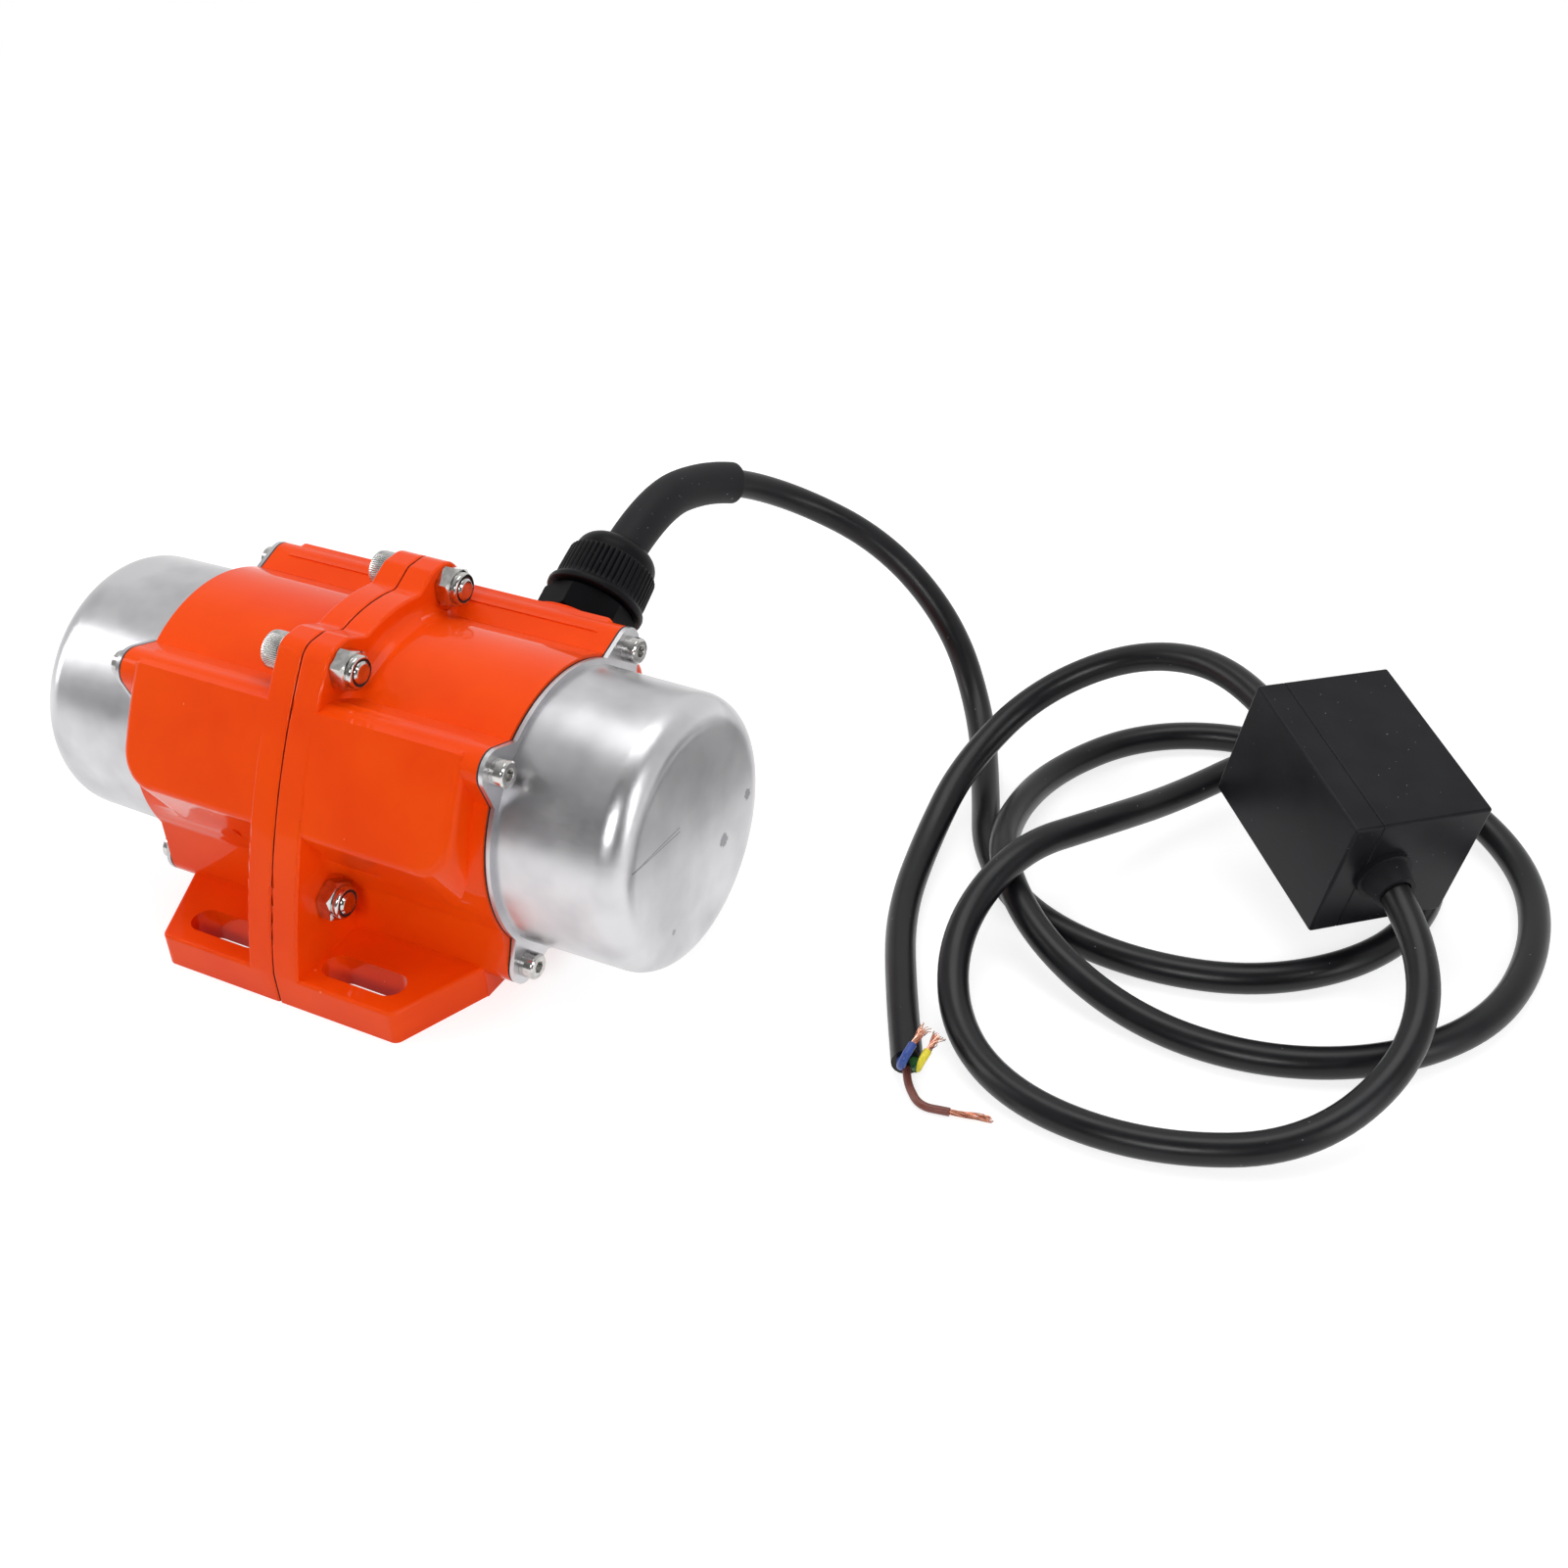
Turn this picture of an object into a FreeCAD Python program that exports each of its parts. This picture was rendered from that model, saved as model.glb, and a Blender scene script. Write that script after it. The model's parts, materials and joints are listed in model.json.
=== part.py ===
import FreeCAD, Part
import math
import os
import re
import Sketcher
from FreeCAD import Placement, Rotation, Vector

# Two-pole vibration motor with a run capacitor in its lead. Millimetres and degrees.
# The frame: +X along the shaft, +Y to the back, +Z up. The origin is on the mounting face, in the middle of
# the four slots, on the plane where the two housing halves meet. Cutters run 1 mm past what they cut.

SIZES = {
    # housing halves
    "shaft_height": 40.5,
    "half_body_length": 56.0,
    "barrel_radius": 39.3,
    "barrel_wall": 3.9,
    "flange_thickness": 8.0,
    "seam_round": 0.8,
    "crown_blend": 3.0,
    "root_round": 4.0,
    "nut_seat_radius": 6.6,
    "side_radius": 196.0,
    "crown_height": 6.7,
    "crown_half_width": 11.0,
    "ear_radius": 6.2,
    "ear_angle": 35.5,
    "ear_flat": 4.5,
    "foot_half_depth": 60.5,
    "foot_thickness": 9.75,
    "foot_front_length": 37.5,
    "foot_length": 48.3,
    "foot_shoulder": 35.0,
    "foot_corner": 2.5,
    "underside_relief": 1.2,
    "underside_half_width": 24.0,
    "slot_pitch_x": 44.0,
    "slot_pitch_y": 102.0,
    "slot_width": 8.6,
    "slot_length": 25.0,
    "panel_setback": 4.0,
    "panel_top": 75.8,
    "panel_top_y": 33.9,
    "bench_width": 6.9,
    "bench_lean": 2.0,
    "bench_drop": 16.0,
    "panel_bottom": 47.5,
    "panel_bottom_y": 48.3,
    "bevel_foot": 26.5,
    "bevel_foot_y": 35.6,
    "panel_corner": 9.0,
    "panel_round": 2.4,
    "edge_round": 1.0,
    "wrench_radius": 10.5,
    "wrench_depth": 24.0,
    # screw bosses and cap screws
    "screw_reach": 3.1264,
    "boss_radius": 5.6,
    "boss_splay": 26.0,
    "cap_screw_shank": 4.0,
    "cap_screw_head": 7.0,
    "cap_screw_head_height": 4.0,
    "cap_screw_length": 12.0,
    "cap_screw_key": 3.0,
    "cap_screw_key_depth": 2.0,
    "head_chamfer": 0.5,
    "tip_chamfer": 0.6,
    "tapped_depth": 14.0,
    # flange bolts and lock nuts
    "upper_bolt_reach": 7.85,
    "upper_bolt_angle": 62.18,
    "lower_bolt_reach": 6.69,
    "lower_bolt_angle": -19.69,
    "bolt_shank": 6.0,
    "bolt_hole": 6.6,
    "bolt_head": 10.0,
    "bolt_head_height": 6.0,
    "bolt_key": 5.0,
    "bolt_key_depth": 3.0,
    "bolt_tip": 14.6,
    "nut_flats": 10.0,
    "nut_hex_height": 4.2,
    "nut_height": 6.0,
    "nut_collar": 8.8,
    "nut_collar_round": 0.7,
    "insert_height": 1.2,
    "insert_depth": 0.3,
    "insert_diameter": 7.2,
    # end caps and gaskets
    "gasket_thickness": 0.5,
    "cap_flange_thickness": 1.2,
    "cap_inset": 0.8,
    "cap_depth": 37.0,
    "cap_step": 2.9,
    "cap_taper": 0.4,
    "cap_wall": 1.2,
    "cap_nose_radius": 7.5,
    # motor inside
    "stator_bore": 18.0,
    "stator_half_length": 17.0,
    "stator_seat": 17.2,
    "stator_slots": 12,
    "slot_root": 28.5,
    "slot_neck": 20.5,
    "slot_mouth": 2.0,
    "slot_breadth": 5.0,
    "cavity_wall": 5.3,
    "end_wall": 6.0,
    "hub_radius": 20.5,
    "winding_end": 29.0,
    "winding_margin": 3.4,
    "winding_bore": 20.8,
    "winding_gap": 0.2,
    "air_gap": 0.4,
    "rotor_half_length": 18.0,
    "rotor_ring_end": 24.0,
    "rotor_bars": 12,
    "rotor_bar_radius": 1.4,
    "rotor_bar_circle": 14.8,
    "rotor_ring_bore": 10.0,
    "core_seat_radius": 8.0,
    "shaft_radius": 7.0,
    "journal_radius": 6.0,
    "shaft_reach": 30.0,
    "fit_gap": 0.05,
    # bearings
    "bearing_depth": 12.4,
    "bearing_shoulder": 0.6,
    "bearing_width": 10.0,
    "bearing_radius": 16.0,
    "bearing_outer_land": 13.2,
    "bearing_inner_land": 8.8,
    "ball_radius": 2.97,
    "ball_count": 7,
    "race_gap": 0.04,
    "cage_thickness": 1.5,
    "cage_margin": 0.9,
    "seal_thickness": 0.7,
    "washer_space": 0.9,
    "washer_thickness": 0.8,
    "shaft_hole_radius": 9.0,
    # eccentric weights on each shaft end
    "spacer_reach": 4.0,
    "spacer_radius": 8.0,
    "weight_thickness": 10.5,
    "weight_gap": 0.3,
    "weight_clearance": 4.2,
    "weight_hub_radius": 11.0,
    "weight_half_angle": 78.0,
    "weight_inner_radius": 13.0,
    "weight_web_half_width": 9.9,
    "clamp_screw_radius": 2.5,
    "key_width": 4.0,
    "key_bottom": 3.5,
    "key_top": 7.6,
    "circlip_thickness": 1.0,
    "circlip_radius": 8.6,
    "circlip_groove": 5.5,
    # cable gland, along its own axis from the shaft axis
    "gland_x": 34.0,
    "gland_angle": 28.0,
    "gland_boss_radius": 14.6,
    "gland_seat": 47.5,
    "gland_reach": 2.8,
    "gland_thread": 20.0,
    "gland_hex": 24.0,
    "gland_hex_end": 56.6,
    "gland_neck_radius": 9.8,
    "gland_neck_end": 66.0,
    "gland_bore": 5.0,
    "gland_seal_radius": 7.4,
    "gland_ring_radius": 14.1,
    "gland_ring_end": 58.8,
    "gland_nut_radius": 12.5,
    "gland_nut_end": 69.6,
    "gland_dome_radius": 11.65,
    "gland_dome_end": 75.5,
    "gland_dome_round": 5.0,
    "jacket_start": 58.0,
    "sleeve_start": 68.0,
    "sleeve_radius": 6.0,
    # cables
    "cable_radius": 4.0,
    "cable_gap": 0.05,
    "core_radius": 1.05,
    "copper_radius": 0.75,
    "core_spread": 2.0,
    "route_unit": 1.0,
    "exit_run": 22.0,
    "gland_run_end": 90.1,
    "copper_gap": 0.4,
    "core_gap": 0.45,
    # capacitor box, in its own frame
    "box_length": 52.0,
    "box_width": 39.0,
    "box_height": 37.0,
    "box_lid": 7.8,
    "box_wall": 2.5,
    "box_edge_round": 0.8,
    "exit_y": -5.5,
    "exit_z": 0.7,
    "grommet_radius": 5.6,
    "grommet_flange": 7.4,
    "grommet_flange_thickness": 1.4,
    "grommet_tip": 5.2,
    "grommet_length": 7.0,
    "capacitor_length": 40.0,
    "capacitor_width": 18.0,
    "capacitor_height": 26.0,
}

# places along the shaft, and then across it, that follow from the sizes
PLACES = {
    "panel_end": "half_body_length - panel_setback",
    "end_wall_start": "half_body_length - end_wall",
    "bearing_start": "half_body_length - bearing_depth",
    "spacer_end": "half_body_length + spacer_reach",
    "shaft_end": "half_body_length + shaft_reach",
    "cap_end": "half_body_length + cap_depth",
    "crown_radius": "barrel_radius + crown_height",
    "upper_bolt_y": "(barrel_radius + upper_bolt_reach) * cos(upper_bolt_angle)",
    "upper_bolt_z": "shaft_height + (barrel_radius + upper_bolt_reach) * sin(upper_bolt_angle)",
    "lower_bolt_y": "(barrel_radius + lower_bolt_reach) * cos(lower_bolt_angle)",
    "lower_bolt_z": "shaft_height + (barrel_radius + lower_bolt_reach) * sin(lower_bolt_angle)",
    "screw_offset": "(barrel_radius + screw_reach) / sqrt(2)",
    "cap_flange_radius": "barrel_radius - cap_inset",
    "cap_radius": "barrel_radius - cap_step",
    "stator_radius": "barrel_radius - barrel_wall",
    "cavity_radius": "barrel_radius - cavity_wall",
    "winding_radius": "stator_radius - winding_margin",
    "weight_radius": "cap_radius - cap_wall - weight_clearance",
    "gland_tail": "barrel_radius - gland_reach",
}

# where the capacitor box lies, in the unit of the cables' routes
BOX_PLACE = (232.45, 92.09, 34.24)
BOX_TURN = Rotation(-44.21, 12.01, -6.75)

doc = FreeCAD.newDocument("vibration_motor")
sheet = doc.addObject("Spreadsheet::Sheet", "Sizes")
for row, (size_name, size) in enumerate(SIZES.items(), start=1):
    sheet.set(f"A{row}", size_name)
    sheet.set(f"B{row}", str(size))
    sheet.setAlias(f"B{row}", size_name)
doc.recompute()

nodes = []
RIGHT_ANGLE = 90
ALONG_X = Rotation(Vector(0, 1, 0), RIGHT_ANGLE)
AXIS = "shaft_height"
HEX_FACE = 0.95  # a nut's turned face as a share of its width across flats
HEX_TURN = 30  # slope of the turned corners, in degrees


# ------------------------------------------------------------------ helpers
def bound(expression):
    """The expression with every place worked out and every size's name pointed at its cell in the sheet."""
    def meaning(word):
        if word[0] in PLACES:
            return f"({bound(PLACES[word[0]])})"
        return "Sizes." + word[0] if word[0] in SIZES else word[0]

    return re.sub(r"[a-z]\w+", meaning, str(expression))


def number(expression):
    return float(sheet.evalExpression(bound(expression)))


def bind(thing, **properties):
    for name, expression in properties.items():
        thing.setExpression(name.replace("__", "."), bound(expression))
    return thing


def node(thing, label):
    """Name a finished sub-part: the label is the name of its file too."""
    thing.Label = label
    nodes.append(thing)
    return thing


def block(name, x0, x1, y0, y1, z0, z1):
    """A box between three pairs of planes."""
    box = doc.addObject("Part::Box", name)
    bind(box, Length=f"({x1}) - ({x0})", Width=f"({y1}) - ({y0})", Height=f"({z1}) - ({z0})")
    return bind(box, Placement__Base__x=x0, Placement__Base__y=y0, Placement__Base__z=z0)


def rod(name, radius, start, end, y="0", z="0"):
    """A cylinder parallel to X from start to end."""
    cylinder = doc.addObject("Part::Cylinder", name)
    cylinder.Placement = Placement(Vector(), ALONG_X)
    bind(cylinder, Radius=radius, Height=f"({end}) - ({start})")
    return bind(cylinder, Placement__Base__x=start, Placement__Base__y=y, Placement__Base__z=z)


def pillar(name, radius, low, high, x="0", y="0"):
    """A cylinder parallel to Z."""
    cylinder = doc.addObject("Part::Cylinder", name)
    bind(cylinder, Radius=radius, Height=f"({high}) - ({low})")
    return bind(cylinder, Placement__Base__x=x, Placement__Base__y=y, Placement__Base__z=low)


def fuse(name, *things):
    union = doc.addObject("Part::MultiFuse", name)
    union.Shapes = list(things)
    union.Refine = True
    return union


def cut(name, base, *tools):
    difference = doc.addObject("Part::Cut", name)
    difference.Base = base
    difference.Tool = tools[0] if len(tools) == 1 else fuse(name + "_tools", *tools)
    difference.Refine = True
    return difference


def group(name, *things):
    compound = doc.addObject("Part::Compound", name)
    compound.Links = list(things)
    return compound


def copy(name, source, place):
    """The source again, moved by a placement on top of its own."""
    link = doc.addObject("App::Link", name)
    link.LinkedObject = source
    link.LinkTransform = True
    link.Placement = place
    return link


def mirrored(name, source, normal):
    mirror = doc.addObject("Part::Mirroring", name)
    mirror.Source = source
    mirror.Normal = normal
    return mirror


def ring_of(name, source, count):
    """Copies of the source turned evenly round the X axis."""
    return [copy(f"{name}_{i}", source, Placement(Vector(), Rotation(Vector(1, 0, 0), i * 360 / count)))
            for i in range(count)]


def outline(body, plane, corners):
    """A closed sketch. A corner is (u, v) or (u, v, radius), anticlockwise: with a radius the run to the
    next corner is an arc, which bulges outwards, or inwards where the radius is negative."""
    sketch = body.newObject("Sketcher::SketchObject", body.Name + "_outline")
    face = next(f for f in body.Origin.OriginFeatures if f.Role == plane)
    sketch.AttachmentSupport = [(face, "")]
    sketch.MapMode = "FlatFace"
    points = [Vector(number(c[0]), number(c[1]), 0) for c in corners]
    starts = []
    ends = []
    for i, corner in enumerate(corners):
        here = points[i]
        there = points[(i + 1) % len(points)]
        if len(corner) == 2:
            sketch.addGeometry(Part.LineSegment(here, there))
            starts.append(1)
            ends.append(2)
            continue
        radius = number(corner[2])
        chord = there - here
        inward = Vector(-chord.y, chord.x, 0).normalize() * math.copysign(1, radius)
        centre = (here + there) / 2 + inward * math.sqrt(max(radius ** 2 - chord.Length ** 2 / 4, 0))
        first, last = (here, there) if radius > 0 else (there, here)
        angles = [math.atan2(p.y - centre.y, p.x - centre.x) for p in (first, last)]
        sketch.addGeometry(Part.ArcOfCircle(Part.Circle(centre, Vector(0, 0, 1), abs(radius)), *angles))
        starts.append(1 if radius > 0 else 2)
        ends.append(2 if radius > 0 else 1)
    Constraint = Sketcher.Constraint
    for i, corner in enumerate(corners):
        following = (i + 1) % len(corners)
        sketch.addConstraint(Constraint("Coincident", i, ends[i], following, starts[following]))
        for kind, axis, expression in (("DistanceX", -2, corner[0]), ("DistanceY", -1, corner[1])):
            if str(expression) == "0":
                sketch.addConstraint(Constraint("PointOnObject", i, starts[i], axis))
                continue
            at = sketch.addConstraint(Constraint(kind, -1, 1, i, starts[i], number(expression)))
            sketch.setExpression(f"Constraints[{at}]", bound(expression))
        if len(corner) == 3:
            at = sketch.addConstraint(Constraint("Radius", i, abs(number(corner[2]))))
            sketch.setExpression(f"Constraints[{at}]", bound(f"abs({corner[2]})"))
    return sketch


def plate(name, plane, corners, length):
    """An outline padded at right angles to its plane."""
    body = doc.addObject("PartDesign::Body", name)
    sketch = outline(body, plane, corners)
    pad = body.newObject("PartDesign::Pad", name + "_pad")
    pad.Profile = sketch
    bind(pad, Length=length)
    return body


def turned(name, corners):
    """An outline of (x, radius) corners turned round the X axis."""
    body = doc.addObject("PartDesign::Body", name)
    sketch = outline(body, "XZ_Plane", corners)
    revolution = body.newObject("PartDesign::Revolution", name + "_turn")
    revolution.Profile = sketch
    revolution.ReferenceAxis = (sketch, ["H_Axis"])
    revolution.Angle = 360
    return body


def tube(name, start, end, inner, outer):
    """A plain ring or sleeve round the X axis."""
    return turned(name, [(start, inner), (end, inner), (end, outer), (start, outer)])


def hexagon(name, flats, start, end):
    """A hexagonal prism along X with a corner up."""
    prism = doc.addObject("Part::Prism", name)
    prism.Polygon = 6
    prism.Placement = Placement(Vector(), ALONG_X)
    bind(prism, Circumradius=f"({flats}) / sqrt(3)", Height=f"({end}) - ({start})")
    return bind(prism, Placement__Base__x=start)


def turned_hexagon(name, flats, start, end):
    """A hexagonal prism along X with its corners turned down at both ends, as on a nut."""
    face = f"({flats}) / 2 * {HEX_FACE}"
    reach = f"(({flats}) / sqrt(3) + 1)"
    drop = f"({reach} - {face}) * tan({HEX_TURN})"
    cone = turned(name + "_cone", [
        (start, "0"), (end, "0"), (end, face), (f"({end}) - {drop}", reach), (f"({start}) + {drop}", reach),
        (start, face)])
    common = doc.addObject("Part::MultiCommon", name)
    common.Shapes = [hexagon(name + "_prism", flats, start, end), cone]
    return common


def rounded(name, base, radius, chosen):
    """Round the edges that the test picks."""
    doc.recompute()
    fillet = doc.addObject("Part::Fillet", name)
    fillet.Base = base
    size = number(radius)
    fillet.Edges = [(i, size, size) for i, edge in enumerate(base.Shape.Edges, start=1) if chosen(edge)]
    return fillet


def at_axis(thing):
    """Lift a piece that is modelled round the X axis to the height of the shaft."""
    return bind(thing, Placement__Base__z=AXIS)


def near(value, wanted, slack=0.01):
    return abs(value - wanted) < slack


# ------------------------------------------------------------------ housing halves
FLUSH_START = "flange_thickness / 2"  # what is flush with the flange starts inside it


def tab_outline():
    """One screw tab, pointing along +Z from the shaft axis: a boss whose sides splay to the barrel."""
    centre = "screw_offset * sqrt(2)"
    side = "boss_radius * cos(boss_splay)"
    top = f"{centre} + boss_radius * sin(boss_splay)"
    foot = "barrel_radius - 6"
    reach = f"({side} + (({top}) - ({foot})) * tan(boss_splay))"
    return [(f"-{reach}", foot), (reach, foot), (side, top, "boss_radius"), (f"-{side}", top)]


def tabs(name, start, end):
    """The four screw tabs, between two planes square to the shaft."""
    tab = plate(name + "_tab", "YZ_Plane", tab_outline(), f"({end}) - ({start})")
    doc.recompute()
    places = [Placement(Vector(number(start), 0, number(AXIS)), Rotation(Vector(1, 0, 0), turn))
              for turn in (45, 135, 225, 315)]
    return [copy(f"{name}_{i}", tab, place) for i, place in enumerate(places)]


def at_screws(name, source):
    """Copies of a piece on the X axis at the four cap screws."""
    step = number("screw_offset")
    height = number(AXIS)
    return [copy(f"{name}_{i}", source, Placement(Vector(0, y * step, height + z * step), Rotation()))
            for i, (y, z) in enumerate(((-1, -1), (1, -1), (1, 1), (-1, 1)))]


def at_bolts(name, source):
    """Copies of a piece on the X axis at the four flange bolts."""
    places = [(side * number(f"{row}_bolt_y"), number(f"{row}_bolt_z"))
              for row in ("upper", "lower") for side in (-1, 1)]
    return [copy(f"{name}_{i}", source, Placement(Vector(0, y, z), Rotation()))
            for i, (y, z) in enumerate(places)]


def flange_outline():
    """Half of the mating flange for positive y, and its mirror image."""
    ear_side = "upper_bolt_y + ear_radius * cos(ear_angle)"
    ear_side_z = "upper_bolt_z + ear_radius * sin(ear_angle)"
    ear_top = "upper_bolt_z + ear_radius"
    crown_z = "shaft_height + sqrt(crown_radius ^ 2 - crown_half_width ^ 2)"
    return [
        ("-foot_half_depth", "0"),
        ("foot_half_depth", "0"),
        ("foot_half_depth", "foot_thickness", "side_radius"),
        (ear_side, ear_side_z, "ear_radius"),
        ("upper_bolt_y", ear_top),
        ("upper_bolt_y - ear_flat", ear_top),
        ("crown_half_width", crown_z, "crown_radius"),
        ("-crown_half_width", crown_z),
        ("ear_flat - upper_bolt_y", ear_top),
        ("-upper_bolt_y", ear_top, "ear_radius"),
        (f"-({ear_side})", ear_side_z, "side_radius"),
        ("-foot_half_depth", "foot_thickness"),
    ]


def flange():
    """The mating flange. Its edges are rounded, so that a fine groove is left where the halves meet."""
    slab = plate("flange_slab", "YZ_Plane", flange_outline(), "flange_thickness")
    ear_inside = number("upper_bolt_y - ear_flat") + 1
    crown_foot = number("upper_bolt_z")

    def crown_corner(edge):
        box = edge.BoundBox
        on_crown = box.ZMin > crown_foot and abs(box.YMin) < ear_inside
        return box.XLength > 1 and near(box.ZLength, 0) and on_crown

    def rim(edge):
        box = edge.BoundBox
        return near(box.XLength, 0) and box.ZMax > 1

    soft = rounded("flange_crown_round", slab, "crown_blend", crown_corner)
    return rounded("flange", soft, "seam_round", rim)


def flange_root():
    """The hollow round between barrel and flange, with a flat seat for each nut and bolt head."""
    ring = at_axis(turned("root_ring", [
        ("flange_thickness - 1", "barrel_radius - 2"),
        ("flange_thickness + root_round", "barrel_radius - 2"),
        ("flange_thickness + root_round", "barrel_radius", "-root_round"),
        ("flange_thickness", "barrel_radius + root_round"),
        ("flange_thickness - 1", "barrel_radius + root_round"),
    ]))
    seat = rod("nut_seat", "nut_seat_radius", "flange_thickness", "flange_thickness + root_round + 1")
    under = block("under_root", "0", "flange_thickness + root_round + 1", "-barrel_radius",
                  "barrel_radius", "-barrel_radius", "foot_thickness / 2")
    return cut("flange_root", ring, under, *at_bolts("nut_seat_at", seat))


def side_panel():
    """The raised panel on the back of a half: its face is flush with the flange, and a bevel leads from its
    lower edge to the barrel, with room for a wrench on the lower nut."""
    face = plate("panel", "YZ_Plane", [
        ("bevel_foot_y", "bevel_foot"),
        ("panel_bottom_y", "panel_bottom", "side_radius"),
        ("panel_top_y", "panel_top"),
        ("panel_top_y - bench_width", "panel_top"),
        ("panel_top_y - bench_width - bench_lean", "panel_top - bench_drop"),
    ], f"panel_end - {FLUSH_START}")
    bind(face, Placement__Base__x=FLUSH_START)
    end = number("panel_end")
    lower = number("panel_bottom")

    def corner(edge):
        box = edge.BoundBox
        return near(box.XMin, end) and near(box.ZMax, lower) and box.YMax > number("panel_bottom_y") - 0.1

    def front(edge):
        box = edge.BoundBox
        return near(box.XMin, end) and box.ZMax > lower + 1 and box.YMax > number("panel_top_y") - 1

    soft = rounded("panel_corner_round", face, "panel_corner", corner)
    soft = rounded("panel_front_round", soft, "panel_round", front)
    room = rod("wrench_room", "wrench_radius", "flange_thickness", "wrench_depth",
               "lower_bolt_y", "lower_bolt_z")
    return cut("back_panel", soft, room)


def foot_plate():
    """Both feet in one tapered plate that runs under the barrel."""
    foot = plate("foot", "XY_Plane", [
        (FLUSH_START, "-foot_half_depth"),
        ("foot_front_length", "-foot_half_depth"),
        ("foot_length", "-foot_shoulder"),
        ("foot_length", "foot_shoulder"),
        ("foot_front_length", "foot_half_depth"),
        (FLUSH_START, "foot_half_depth"),
    ], "foot_thickness")
    flange_side = number("flange_thickness")

    def upright(edge):
        box = edge.BoundBox
        return box.ZLength > 1 and box.XMin > flange_side

    def top(edge):
        box = edge.BoundBox
        return near(box.ZMin, number("foot_thickness")) and box.XMax > flange_side

    soft = rounded("foot_corner_round", foot, "foot_corner", upright)
    return rounded("foot_top_round", soft, "edge_round", top)


def slot_cutters():
    """The mounting slots of one half, one in each foot: a box with a round end on each side."""
    half = "(slot_length - slot_width) / 2"
    middle = "slot_pitch_x / 2"
    cutters = []
    for side, y in (("front", "-slot_pitch_y / 2"), ("back", "slot_pitch_y / 2")):
        ends = [f"{middle} - {half}", f"{middle} + {half}"]
        cutters.append(block(f"{side}_slot", *ends, f"{y} - slot_width / 2", f"{y} + slot_width / 2",
                             "-1", "foot_thickness + 1"))
        cutters += [pillar(f"{side}_slot_end_{i}", "slot_width / 2", "-1", "foot_thickness + 1", x, y)
                    for i, x in enumerate(ends)]
    return cutters


def interior():
    """What is bored out of a half: the stator seat, the winding space and the bearing seat."""
    space = turned("interior", [
        ("-1", "0"),
        ("half_body_length + 1", "0"),
        ("half_body_length + 1", "shaft_hole_radius"),
        ("bearing_start + bearing_width + washer_space", "shaft_hole_radius"),
        ("bearing_start + bearing_width + washer_space", "bearing_radius + fit_gap"),
        ("bearing_start - bearing_shoulder", "bearing_radius + fit_gap"),
        ("bearing_start - bearing_shoulder", "hub_radius"),
        ("end_wall_start", "hub_radius"),
        ("end_wall_start", "cavity_radius"),
        ("stator_seat", "cavity_radius"),
        ("stator_seat", "stator_radius + fit_gap"),
        ("-1", "stator_radius + fit_gap"),
    ])
    return at_axis(space)


def gland_place():
    """Turns a piece from the X axis to the axis of the cable gland."""
    tilt = Rotation(Vector(1, 0, 0), number("gland_angle"))
    return Placement(Vector(number("gland_x"), 0, number(AXIS)), tilt * Rotation(Vector(0, 0, 1), 90))


def housing():
    """Right half with its gland boss, and the left half, the mirror image without one."""
    barrel = rod("barrel", "barrel_radius", "0", "half_body_length", z=AXIS)
    foot = foot_plate()
    back = side_panel()
    front = mirrored("front_panel", back, Vector(0, 1, 0))
    bosses = tabs("boss", "0", "half_body_length")
    rib_top = "shaft_height - sqrt(barrel_radius ^ 2 - (screw_offset + boss_radius) ^ 2) + 1"
    lower_boss = "shaft_height - screw_offset"
    webs = []
    for side, low, high in (("front", "-(screw_offset + boss_radius)", "4 - screw_offset"),
                            ("back", "screw_offset - 4", "screw_offset + boss_radius")):
        webs.append(block(f"{side}_web", "0", "half_body_length", low, high, lower_boss, rib_top))
        webs.append(block(f"{side}_web_foot", "0", "foot_length", low, high, "0", lower_boss))
    blank = fuse("half_blank", flange(), barrel, flange_root(), foot, back, front, *bosses, *webs)

    bolt_hole = rod("bolt_hole", "bolt_hole / 2", "-1", "flange_thickness + 1")
    tapped = rod("tapped_hole", "cap_screw_shank / 2 + fit_gap", "half_body_length - tapped_depth",
                 "half_body_length + 1")
    relief = block("underside", "-1", "half_body_length + 1", "-underside_half_width",
                   "underside_half_width", "-barrel_radius", "underside_relief")
    cutters = [interior(), relief, *slot_cutters(), *at_bolts("bolt_hole_at", bolt_hole),
               *at_screws("tapped_at", tapped)]
    left_source = cut("left_half_source", blank, *cutters)
    node(mirrored("left_half", left_source, Vector(1, 0, 0)), "housing_left")

    boss = rod("gland_boss", "gland_boss_radius", "barrel_radius - 5", "gland_seat")
    boss_copy = copy("gland_boss_at", boss, gland_place())
    bore = rod("gland_bore", "gland_thread / 2 + fit_gap", "cavity_radius - 4", "gland_hex_end")
    spot = rod("gland_spot_face", "gland_boss_radius", "gland_seat", "gland_hex_end")
    right = cut("right_half", fuse("right_blank", blank, boss_copy), *cutters,
                copy("gland_bore_at", bore, gland_place()), copy("gland_spot_at", spot, gland_place()))
    node(right, "housing_right")


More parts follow.
